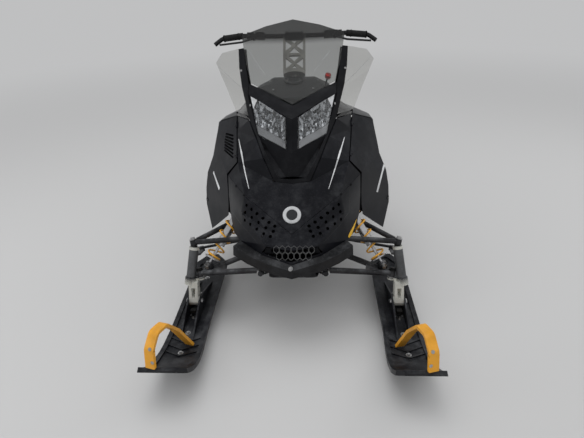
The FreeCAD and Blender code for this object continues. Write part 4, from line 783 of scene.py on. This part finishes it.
badge = dict(
    pixel=(287, 215),
    ring=[(40.5, -3), (40.5, 2), (38.5, 3.4), (26.2, 3.4), (25, 2.6), (24.5, 1)],
    face=[(24.6, -2), (24.6, 2.2), (0, 2.2)],
)


def makeBadge(s):
    place, normal = hit(*s["pixel"], "hood")
    place = Vector((0, place.y, place.z))
    normal = Vector((0, normal.y, normal.z)).normalized()
    addPiece("badgeRing", [turned(place, normal, s["ring"], 48)], "badgeSilver")
    addPiece("badgeFace", [turned(place, normal, s["face"], 40)], "darkFaceAndReflection")


makeBadge(badge)

# plain stripes where the photograph has lettering

stripes = [  # name, node, finish, body, line of pixels with the width in mm
    ("hoodLineRight", "hood", "stripeWhite", "chassis",
     [(238.8, 139, 3), (241.4, 152, 9), (245, 172, 5), (249, 189, 2)]),
    ("hoodLineLeft", "hood", "stripeWhite", "chassis",
     [(344.5, 137, 3), (340, 152, 9), (334, 172, 5), (328.6, 189, 2)]),
    ("panelMarkRightA", "side_panel_right", "stripeWhite", "panel_unit_right",
     [(213.5, 172, 16), (219.5, 189, 20)]),
    ("panelMarkLeftA", "side_panel_left", "stripeWhite", "panel_unit_left",
     [(384, 165, 16), (377, 192, 20)]),
    ("noseArrow", "nose", "stripYellow", "chassis",
     [(346.2, 244, 2), (349.8, 235.5, 24), (353.6, 227, 13), (356.6, 219, 2)]),
]
for name, nodeName, finishName, body, line in stripes:
    drape(name, nodeName, line, finishName, body, lift=0.8, pieces=14)

# rivets, bolts and clips on the front

frontFixings = dict(
    bumperBolt=(290.5, 269),
    pillarRivets=((238.2, 57), (241.1, 70.6)),
    noseClips=((236, 186), (243, 214), (262, 236), (232, 160)),
)


def makeFrontFixings(s):
    addPiece("bumperBolt", fasten(hexBolt, [hit(*s["bumperBolt"], "front_bumper")], 1, 5.5), "boltSteel")
    rivets = [hit(u, v, "windshield_frame") for u, v in s["pillarRivets"]]
    bothSides("pillarRivets", fasten(dome, rivets, 0.6, 5.8, 3.2), "boltSteel")
    clips = [hit(u, v, "nose", "hood") for u, v in s["noseClips"]]
    bothSides("noseClips", fasten(socketScrew, clips, 1, 6.5, 3.2), "trimBlack")


makeFrontFixings(frontFixings)
print("front pieces made")

# strips behind the pillars, seals beside the hood's upper edge and the nose, shelf under the hood's front

seals = dict(
    pillar=[(240, 560, 1186), (228, 494, 1112), (212, 432, 1046), (205, 386, 1006), (180, 306, 920),
            (162, 262, 862), (128, 196, 806)],
    hoodEdge=[(205, 316, 906), (245, 394, 895), (283, 468, 884), (291, 484, 882)],
    noseHeights=(456, 475, 500, 530, 570),
    noseSteps=((311, 16), (330, 46), (348, 76)),
    noseFoot=(200, 474, 28 / 92),
    shelf=[[(0, 106, 658), (50, 112, 660), (100, 122, 662)], [(0, 178, 682), (40, 172, 682), (80, 160, 682)]],
)


def makeSeals(s):
    route = smoothRoute([at(x, back + 9, z - 4) for x, back, z in s["pillar"]], 0.01)
    bothSides("pillarStrips", [sweep(route, oblong(13, 1))], "shadeAndSealBlack")
    upper = sweep([at(x, back + 9, z + 4) for x, back, z in s["hoodEdge"]], oblong(1, 14))
    foot, start, slope = s["noseFoot"]
    rows = []
    for z in s["noseHeights"]:
        rows.append([at(x, foot + (z - start) * slope + shift, z) for x, shift in s["noseSteps"]])
    shelf = [[at(*spot) for spot in row] for row in s["shelf"]]
    bothSides("bodySeals", [upper, strip(rows), strip(shelf)], "shadeAndSealBlack")


makeSeals(seals)

# honeycomb in the mouth, in front of the dark plate

comb = dict(
    left=273.4, right=314.6, top=246.6, low=259.6, plane=-168,
    cells=7, radius=1.3, tip=0.62, side=(0.46, 0.28),
)


def makeComb(s):
    wide = (s["right"] - s["left"]) / s["cells"]
    tall = (s["low"] - s["top"]) / 2
    out, half = wide * s["side"][0], tall * s["side"][1]
    tip = tall * s["tip"]
    corners = [(0, -tip), (out, -half), (out, half), (0, tip), (-out, half), (-out, -half)]
    parts = []
    for row in range(2):
        y = s["top"] + tall * (row + 0.5)
        for k in range(s["cells"] - row):
            x = s["left"] + wide * (k + 0.5 + row * 0.5)
            ring = [onPlane(x + a, y + b, s["plane"]) for a, b in corners]
            parts += [sweep([a, b], circle(s["radius"], 6)) for a, b in zip(ring, ring[1:] + ring[:1])]
    addPiece("comb", parts, "meshGrey")


makeComb(comb)

# painted highlights: light lines along the creases of the nose's inner contour and along the folds of the
# deflectors and the screen

creaseHighlights = dict(
    noseCreaseHighlightRight=[(231.5, 181, 1.6), (232.4, 212, 1.6), (241, 224, 1.6), (256, 241, 1.6)],
    noseCreaseHighlightLeft=[(350, 184, 1.6), (349, 212, 1.6), (339, 226, 1.6), (324, 242, 1.6)],
)
foldHighlights = dict(
    deflectorFoldHighlightRight=("side_deflectors", [(216.5, 65, 1.6), (240, 86.5, 1.6)]),
    deflectorFoldHighlightLeft=("side_deflectors", [(370, 58, 1.6), (345, 83.5, 1.6)]),
    screenFoldHighlightRight=("windshield", [(248, 50, 1.3), (265, 74.5, 1.3)]),
    screenFoldHighlightLeft=("windshield", [(330, 50.5, 1.3), (311, 75.5, 1.3)]),
)
for name, line in creaseHighlights.items():
    drape(name, "nose", line, "creaseHighlightGrey", lift=0.35, pieces=10)
# light lines on the folds: painted highlights
for name, (nodeName, line) in foldHighlights.items():
    drape(name, nodeName, line, "foldHighlight")

# red knob on the dash

dashKnob = dict(
    pixel=(328, 76), plane=470, stalk=4, profile=[(13, -10), (14.5, -6), (14.5, 6), (12.5, 10), (0, 10.5)],
)


def makeKnob(s):
    place = onPlane(*s["pixel"], s["plane"])
    foot = treeOf("console").find_nearest(place)[0]
    route = [foot, foot * 0.5 + place * 0.5 + Vector((0, 0, 0.004)), place]
    addPiece("dashKnob", [turned(place, place - foot, s["profile"])], "capRed")
    addPiece("dashStalk", [sweep(smoothRoute(route, 0.02), circle(s["stalk"], 10))], "barBlack")


makeKnob(dashKnob)

# coil springs over the front shocks, their seats and the rings that preload them

shockLow, shockHigh = at(428, 74, 257), at(250, 262, 500)
coil = dict(
    start=40.5, end=291, radius=35, wire=4.5, turns=5.5, steps=26, closed=0.75, closedRise=0.30,
    seat=[(39, 0), (41, 1), (41, 3), (39, 4)], seats=(33.5, 294),
    ring=[(24.2, 0), (25.5, 1), (25.5, 4), (24.2, 5)], rings=(300, 307, 314),
)


def makeCoil(s):
    axis = (shockHigh - shockLow).normalized()
    side, up = across(axis)
    count = int(s["turns"] * s["steps"])
    full = s["turns"] - 2 * s["closed"]
    path = []
    for k in range(count + 1):
        lead = k / count * s["turns"]
        rise = min(lead, s["closed"]) * s["closedRise"] + min(max(lead - s["closed"], 0), full)
        rise += max(lead - s["turns"] + s["closed"], 0) * s["closedRise"]
        reach = s["start"] + (s["end"] - s["start"]) * rise / (full + 2 * s["closed"] * s["closedRise"])
        turn = 2 * math.pi * lead
        out = side * math.cos(turn) + up * math.sin(turn)
        path.append(shockLow + (axis * reach + out * s["radius"]) / 1000)
    springs = bothSides("coilSprings", [sweep(path, circle(s["wire"], 9))], "springYellow", sharp=60)
    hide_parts("shock_springs")
    for name, key, starts, finishName in (("springSeats", "seat", "seats", "shockAlloy"),
                                          ("preloadRings", "ring", "rings", "armBlack")):
        profiles = [[(r, start + reach) for r, reach in s[key]] for start in s[starts]]
        bothSides(name, [turned(shockLow, axis, profile, 28) for profile in profiles], finishName)


makeCoil(coil)

# bolts of the front suspension and its dust boots

kingLow, kingHigh = at(470, 58, 215), at(498, 112, 362)
joints = dict(
    armEnds=((215, 84, 401), (250, 375, 380), (150, -52, 312), (165, 190, 274)), armBolt=8.5, armHalf=21.5,
    shockBolt=7, shockHalf=19, ballNut=9.5, highNut=13, lowNut=17,
    bootWide=19.5, bootLength=14, bootShift=20, bootFolds=4, bootTaper=0.28, bootWaist=0.86,
    pin=(502, 0, 90), pinHalf=27, pinNut=10.5,
)


def pair(place, half, axis):
    return [(place + axis * (sign * half / 1000), axis * sign) for sign in (-1, 1)]


def boot(s, centre, axis):
    profile = []
    for k in range(s["bootFolds"] * 2 + 1):
        share = k / (s["bootFolds"] * 2)
        wide = s["bootWide"] * (1 - s["bootTaper"] * share) * (1.0 if k % 2 else s["bootWaist"])
        profile.append((wide, (share - 0.5) * s["bootLength"]))
    return turned(centre, axis, profile, 18)


def makeJoints(s):
    king = (kingHigh - kingLow).normalized()
    nuts = [(kingHigh + king * (s["highNut"] / 1000), king), (kingLow - king * (s["lowNut"] / 1000), -king)]
    bolts = fasten(hexBolt, nuts, 0, s["ballNut"])
    lengthways = Vector((0, 1, 0))
    for spot in s["armEnds"]:
        bolts += fasten(hexBolt, pair(at(*spot), s["armHalf"], lengthways), 0, s["armBolt"])
    for place in (shockLow, shockHigh):
        bolts += fasten(hexBolt, pair(place, s["shockHalf"], lengthways), 0, s["shockBolt"])
    bothSides("armBolts", bolts, "boltSteel")
    shift = king * (s["bootShift"] / 1000)
    bothSides("jointBoots", [boot(s, kingHigh - shift, -king), boot(s, kingLow + shift, king)], "gripRubber")
    pins = fasten(hexBolt, pair(at(*s["pin"]), s["pinHalf"], Vector((1, 0, 0))), 0, s["pinNut"])
    bothSides("skiPins", pins, "boltSteel", body="ski_unit")


makeJoints(joints)

# tones of the spindle: bright cap, dark tube, black collar, bright fork

spindleTones = [  # least height in mm, finish
    (322, "spindleBright"), (212, "spindleGrey"), (196, "armBlack"), (-50, "spindleBright"),
]
spindleBands = dict(  # radius, start and end along the tube, finish
    Cap=(23.8, 1.6, 16, "spindleBright"),
    Collar=(25.6, 150, 166, "armBlack"),
)


def paintFaces(nodeName, pick, finishNames):
    mesh = nodes[nodeName].data
    first = len(mesh.materials)
    for finishName in finishNames:
        mesh.materials.append(finish[finishName])
    for face in mesh.polygons:
        k = pick(nodes[nodeName].matrix_world @ face.center)
        if k is not None:
            face.material_index = first + k


def spindleTone(p):
    for k, (least, _) in enumerate(spindleTones):
        if p.z * 1000 > least:
            return k
    return None


for side in ("left", "right"):
    paintFaces("spindle_" + side, spindleTone, [finishName for _, finishName in spindleTones])
tubeTop, tubeEnd = kingHigh - (kingHigh - kingLow).normalized() * 0.022, at(520, 36, 178)
for bandName, (radius, start, end, finishName) in spindleBands.items():
    profile = [(radius - 1, start), (radius, start + 1), (radius, end - 1), (radius - 1, end)]
    band = turned(tubeTop, (tubeEnd - tubeTop).normalized(), profile, 28)
    bothSides("spindle" + bandName, [band], finishName, body="ski_unit")

# ski hardware: runner nuts, saddle screws, damper blocks and strap rivets

skiParts = dict(
    middle=502, above=160, nuts=(-300, -170, -60, 120, 260), screws=((486, 518), (-46, 46)),
    blocks=((502, -44, 62), (502, 44, 62)), blockSize=(30, 22, 20), straps=((431, 366), (433, 352)),
)
down = Vector((0, 0, -1))


def makeSkiParts(s):
    nuts = [lay("ski_left", at(s["middle"], back, s["above"]), down) for back in s["nuts"]]
    wide, far = s["screws"]
    screws = [lay("ski_left", at(x, back, s["above"]), down) for back in far for x in wide]
    straps = [hit(u, v, "ski_loop_left") for u, v in s["straps"]]
    blocks = [brick(at(*place), s["blockSize"]) for place in s["blocks"]]
    bothSides("runnerNuts", fasten(hexBolt, nuts, 0.6, 6.5), "boltSteel", body="ski_unit")
    bothSides("saddleScrews", fasten(socketScrew, screws, 0.6, 7, 4), "boltSteel", body="ski_unit")
    bothSides("skiDampers", blocks, "gripRubber", body="ski_unit", bevel=3)
    bothSides("strapRivets", fasten(dome, straps, 0.6, 7.5, 3.5), "boltSteel", body="ski_unit")


makeSkiParts(skiParts)

# side panel fasteners

panelParts = dict(
    places=((460, 440, 430), (436, 660, 470), (400, 780, 600), (372, 850, 480)), ahead=(-1, 0.25, 0), out=60,
    head=[(12.5, 0), (12.5, 2.2), (10.5, 3.4), (4, 3.4), (0, 2.6)], slot=(14.5, 2.6, 1.6), slotLift=3,
)


def makePanelParts(s):
    heads, slots = [], []
    for x, back, z in s["places"]:
        point, normal = lay("side_panel_left", at(x + s["out"], back, z), Vector(s["ahead"]))
        heads.append(turned(point - normal * 0.001, normal, s["head"], 22))
        turn = axes(across(normal)[0], normal)
        slots.append(brick(point + normal * (s["slotLift"] / 1000), s["slot"], turn))
    bothSides("panelFasteners", heads, "trimBlack", body="panel_unit")
    bothSides("fastenerSlots", slots, "boltSteel", body="panel_unit")


makePanelParts(panelParts)
print("side pieces made")

# handlebar: grey riser, switch blocks, reservoir, grip rings and clamp bolts

barParts = dict(
    inner=(120, 746, 1218), outer=(262, 758, 1224), end=(384, 792, 1208), up=(0, 0.35, 0.94),
    block=(176, 750.5, 1220.4), blockSize=(46, 36, 34), screws=(-15, 15),
    key=[(7, 0), (7, 4), (6, 5), (0, 5)],
    tank=(214, 764, 1222),
    tankProfile=[(13, -6), (14, 0), (14, 10), (15.5, 10.5), (15.5, 14), (14.5, 15.5), (0, 15.5)],
    rings=(292, 372), ring=[(16.2, -2), (17.8, -1.2), (17.8, 1.2), (16.2, 2)],
    clamps=[(x, back, 1300) for x in (-40, 40) for back in (722, 765)], riserHalf=0.064, riserTop=1.208,
)


def riserTone(p):
    return 0 if abs(p.x) < barParts["riserHalf"] and p.z < barParts["riserTop"] else None


def makeBarParts(s):
    bars = "steering_bars"
    inner, outer, end = at(*s["inner"]), at(*s["outer"]), at(*s["end"])
    up = Vector(s["up"])
    turn = axes((outer - inner).normalized(), up.normalized())
    middle = at(*s["block"])
    bothSides("switchBlocks", [brick(middle, s["blockSize"], turn)], "barBlack", bars, bevel=4)
    spots = [(middle + turn @ Vector((shift / 1000, 0, 0.0165)), up.normalized()) for shift in s["screws"]]
    bothSides("switchScrews", fasten(socketScrew, spots, 0, 3.5, 1.8), "boltSteel", bars)
    key = turned(middle + turn @ Vector((0, 0.018, 0.004)), turn @ Vector((0, 1, 0)), s["key"], 16)
    bothSides("switchKeys", [key], "capRed", bars)
    addPiece("brakeReservoir", [turned(at(*s["tank"]), up, s["tankProfile"], 26)], "barBlack", bars)
    reach = end - outer
    feet = [outer + reach * ((x - s["outer"][0]) / (s["end"][0] - s["outer"][0])) for x in s["rings"]]
    bothSides("gripRings", [turned(foot, reach, s["ring"], 22) for foot in feet], "gripRubber", bars)
    clamps = [lay("handlebar", at(*spot), down) for spot in s["clamps"]]
    addPiece("clampBolts", fasten(socketScrew, clamps, 0.4, 5, 4), "boltSteel", bars)


paintFaces("handlebar", riserTone, ["riserGrey"])
makeBarParts(barParts)

# gauge, key and screws on the pod

podParts = dict(
    above=1200, gauge=(0, 545), key=(92, 650), screws=((96, 470), (118, 560), (100, 690)),
    bezel=[(50, -3), (50, 4), (47, 6.5), (42.5, 6.5), (41.5, 3.5), (0, 3.5)],
    face=[(41.3, 3), (41.3, 4.6), (0, 4.6)],
    keyProfile=[(16, 0), (16, 5), (13, 7), (6, 7), (6, 5), (0, 5)],
    marks=13, firstMark=-30, markStep=20, markReach=34, markLift=4.8, markSize=(1.2, 0.5),
)


def makePodParts(s):
    point, normal = lay("console", at(*s["gauge"], s["above"]), down)
    addPiece("gaugeBezel", [turned(point, normal, s["bezel"], 44)], "trimBlack")
    addPiece("gaugeFace", [turned(point, normal, s["face"], 40)], "darkFaceAndReflection")
    side, up = across(normal)
    marks = []
    for k in range(s["marks"]):
        turn = math.radians(s["firstMark"] + s["markStep"] * k)
        line = side * math.cos(turn) + up * math.sin(turn)
        place = point + (line * s["markReach"] + normal * s["markLift"]) / 1000
        marks.append(brick(place, (4 if k % 3 else 7, *s["markSize"]), axes(line, normal)))
    addPiece("gaugeMarks", marks, "stripeWhite")
    point, normal = lay("console", at(*s["key"], s["above"]), down)
    addPiece("keySwitch", [turned(point - normal * 0.001, normal, s["keyProfile"], 24)], "barBlack")
    screws = [lay("console", at(*spot, s["above"]), down) for spot in s["screws"]]
    bothSides("podScrews", fasten(socketScrew, screws, 0.8, 5.5, 3), "boltSteel")


makePodParts(podParts)

# cap on the tank, painted on the tank's own faces

cap = dict(foot=at(0, 885, 872.4), axis=Vector((0, 40 / 190, 1)).normalized())
cap.update(radius=0.0408, low=-0.012, half=0.042)


def capTone(p):
    gap = p - cap["foot"]
    reach = gap.dot(cap["axis"])
    near = (gap - cap["axis"] * reach).length < cap["radius"]
    return 0 if near and reach > cap["low"] and abs(p.x) < cap["half"] else None


paintFaces("tank", capTone, ["trimBlack"])

# seat: a cushion of its own, swelled by a cloth simulation

seatSet = dict(voxel=0.0085, pressure=4.0, cap=0.009, shrink=(0.965, 0.985, 0.985), frames=20, margin=0.001)


def plainMesh(nodeName):
    build = bmesh.new()
    build.from_mesh(nodes[nodeName].data)
    bmesh.ops.transform(build, matrix=nodes[nodeName].matrix_world, verts=build.verts)
    bmesh.ops.remove_doubles(build, verts=build.verts, dist=0.00002)
    mesh = bpy.data.meshes.new(nodeName + "Soft")
    build.to_mesh(mesh)
    build.free()
    return mesh


def bake(o):
    made = bpy.data.meshes.new_from_object(o.evaluated_get(bpy.context.evaluated_depsgraph_get()))
    o.modifiers.clear()
    o.data = made
    return made


def makeSeat(s):
    low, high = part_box("seat")
    middle = (low + high) / 2
    o = bpy.data.objects.new("seatCushion", plainMesh("seat"))
    scene.collection.objects.link(o)
    for v in o.data.vertices:
        v.co = Vector(middle[k] + (v.co[k] - middle[k]) * s["shrink"][k] for k in range(3))
    remesh = o.modifiers.new("remesh", "REMESH")
    remesh.mode = "VOXEL"
    remesh.voxel_size = s["voxel"]
    bake(o)
    rest = [v.co.copy() for v in o.data.vertices]
    cloth = o.modifiers.new("cloth", "CLOTH")
    cloth.settings.use_pressure = True
    cloth.settings.uniform_pressure_force = s["pressure"]
    cloth.settings.effector_weights.gravity = 0
    cloth.point_cache.frame_end = s["frames"]
    for k in range(1, s["frames"] + 1):
        scene.frame_set(k)
    bake(o)
    scene.frame_set(1)
    for v, start in zip(o.data.vertices, rest):
        move = v.co - start
        if move.length > s["cap"]:
            move *= s["cap"] / move.length
        v.co = start + move
        for k in range(3):
            v.co[k] = min(max(v.co[k], low[k] + s["margin"]), high[k] - s["margin"])
    subdivide = o.modifiers.new("subdivide", "SUBSURF")
    subdivide.levels = 1
    subdivide.render_levels = 1
    bake(o)
    o.data.polygons.foreach_set("use_smooth", [True] * len(o.data.polygons))
    o.data.materials.clear()
    o.data.materials.append(finish["seatVinyl"])
    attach(o, "chassis")
    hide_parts("seat")
    print("seat cushion:", len(o.data.polygons), "faces")
    return o


seatCushion = makeSeat(seatSet)
trees["seatCushion"] = BVHTree.FromPolygons([v.co.copy() for v in seatCushion.data.vertices],
                                            [tuple(f.vertices) for f in seatCushion.data.polygons])

seams = dict(  # rows along each side: first place, step, count, height, slant
    piping=(1010, 12, 65, 1000, (0.66, 0.62)), pipingRadius=2.2,
    side=(1024, 12, 62, 640, (1, 0)), sideRadius=1.5,
    stitches=(1012, 9, 84, 985, (0.66, 0.62)), stitch=(5.5, 1.1, 1), stitchShift=7, stitchLift=0.2,
    cross=(1270, 1600), crossTurns=(-62, 3.1, 41), crossHeight=650, crossRadius=1.6,
)


def sideRays(sign, first, step, count, height, slant):
    ahead = Vector((-sign * slant[0], 0, -slant[1]))
    return [(at(sign * 400, first + step * k, height), ahead) for k in range(count)]


def touched(rays):
    found = [trees["seatCushion"].ray_cast(start, ahead.normalized())[:2] for start, ahead in rays]
    return [(point, normal) for point, normal in found if point is not None]


def seam(name, rays, radius):
    path = [point + normal * (radius * 0.35 / 1000) for point, normal in touched(rays)]
    addPiece(name, [sweep(path, circle(radius, 8))], "seatVinyl", sharp=60)


def makeSeams(s):
    lengthways = Vector((0, 1, 0))
    stitches = []
    for sign, label in ((1, "Left"), (-1, "Right")):
        seam("seatPiping" + label, sideRays(sign, *s["piping"]), s["pipingRadius"])
        seam("seatSideSeam" + label, sideRays(sign, *s["side"]), s["sideRadius"])
        for point, normal in touched(sideRays(sign, *s["stitches"])):
            side = normal.cross(lengthways).normalized() * -sign
            place = point + (side * s["stitchShift"] + normal * s["stitchLift"]) / 1000
            stitches.append(brick(place, s["stitch"], axes(lengthways, normal)))
    first, step, count = s["crossTurns"]
    for number, back in enumerate(s["cross"]):
        turns = [math.radians(first + step * k) for k in range(count)]
        outs = [Vector((math.sin(turn), 0, math.cos(turn))) for turn in turns]
        rays = [(at(0, back, s["crossHeight"]) + out * 0.6, -out) for out in outs]
        seam("seatCrossSeam%d" % number, rays, s["crossRadius"])
    addPiece("seatStitches", stitches, "stripeWhite")


makeSeams(seams)

# rivets and bolts of the tunnel, the bumper, the rails and the flap, ribs of the tail lamp

rearParts = dict(
    sides=[(300, 720 + 76 * k, height) for k in range(17) for height in (452, 330)],
    deck=[(120, 1850 + 48 * k, 620) for k in range(5)],
    flap=[(60, 2300, 470), (150, 2300, 470)],
    bumper=[(400, 1780, 441), (400, 1990, 441)],
    rails=[(199, back, 120) for back in (1120, 1400, 1700, 1961)],
    ribs=range(-60, 61, 12), ribWide=2.2, ribDeep=1.2, ribTall=0.7, ribLift=0.0004,
)


def makeRearParts(s):
    inward, ahead = Vector((-1, 0, 0)), Vector((0, -1, 0))
    rivets = [lay("tunnel", at(*spot), inward) for spot in s["sides"]]
    rivets += [lay("tunnel", at(*spot), down) for spot in s["deck"]]
    bothSides("tunnelRivets", fasten(dome, rivets, 0.4, 5.2, 2.4), "shockAlloy")
    flap = [lay("snow_flap", at(*spot), ahead) for spot in s["flap"]]
    bothSides("flapBolts", fasten(hexBolt, flap, 0.6, 6), "boltSteel")
    low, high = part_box("tail_lamp")
    size = (s["ribWide"], s["ribDeep"], (high.z - low.z) * 1000 * s["ribTall"])
    middles = [Vector((x / 1000, high.y + s["ribLift"], (low.z + high.z) / 2)) for x in s["ribs"]]
    addPiece("lampRibs", [brick(middle, size) for middle in middles], "tailRed")
    bumper = [lay("rear_bumper", at(*spot), inward) for spot in s["bumper"]]
    rails = [lay("slide_rails", at(*spot), inward) for spot in s["rails"]]
    bothSides("rearBolts", fasten(hexBolt, bumper, 0.8, 6) + fasten(hexBolt, rails, 0.6, 6.5), "boltSteel")


makeRearParts(rearParts)
print("rear pieces made")

# floor, which lies low because the skis dip below the ground at full lock

floorSet = dict(half=40, height=-0.045, near=2.2, far=9.0)


def makeFloor(s):
    mesh = bpy.data.meshes.new("floor")
    corners = [(x, y, s["height"]) for x, y in oblong(s["half"], s["half"])]
    mesh.from_pydata(corners, [], [(0, 1, 2, 3)])
    floor = bpy.data.objects.new("floor", mesh)
    scene.collection.objects.link(floor)
    material, tree, shader = newMaterial("paleFloor")
    feed(shader, {"Base Color": lightSet["floor"], "Roughness": 0.9, "Specular IOR Level": 0.1})
    reach = newNode(tree, "VectorMath", {0: objectPlace(tree)}, operation="LENGTH").outputs["Value"]
    direct = newNode(tree, "LightPath", {}).outputs["Is Camera Ray"]
    fade = times(tree, ramp(tree, reach, s["near"], s["far"]), direct)
    glow = newNode(tree, "Emission", {"Color": lightSet["sky"], "Strength": lightSet["backdrop"]})
    mixed = newNode(tree, "MixShader", {0: fade, 1: shader.outputs[0], 2: glow.outputs[0]})
    feed(tree.nodes["Material Output"], {"Surface": mixed.outputs[0]})
    mesh.materials.append(material)


makeFloor(floorSet)
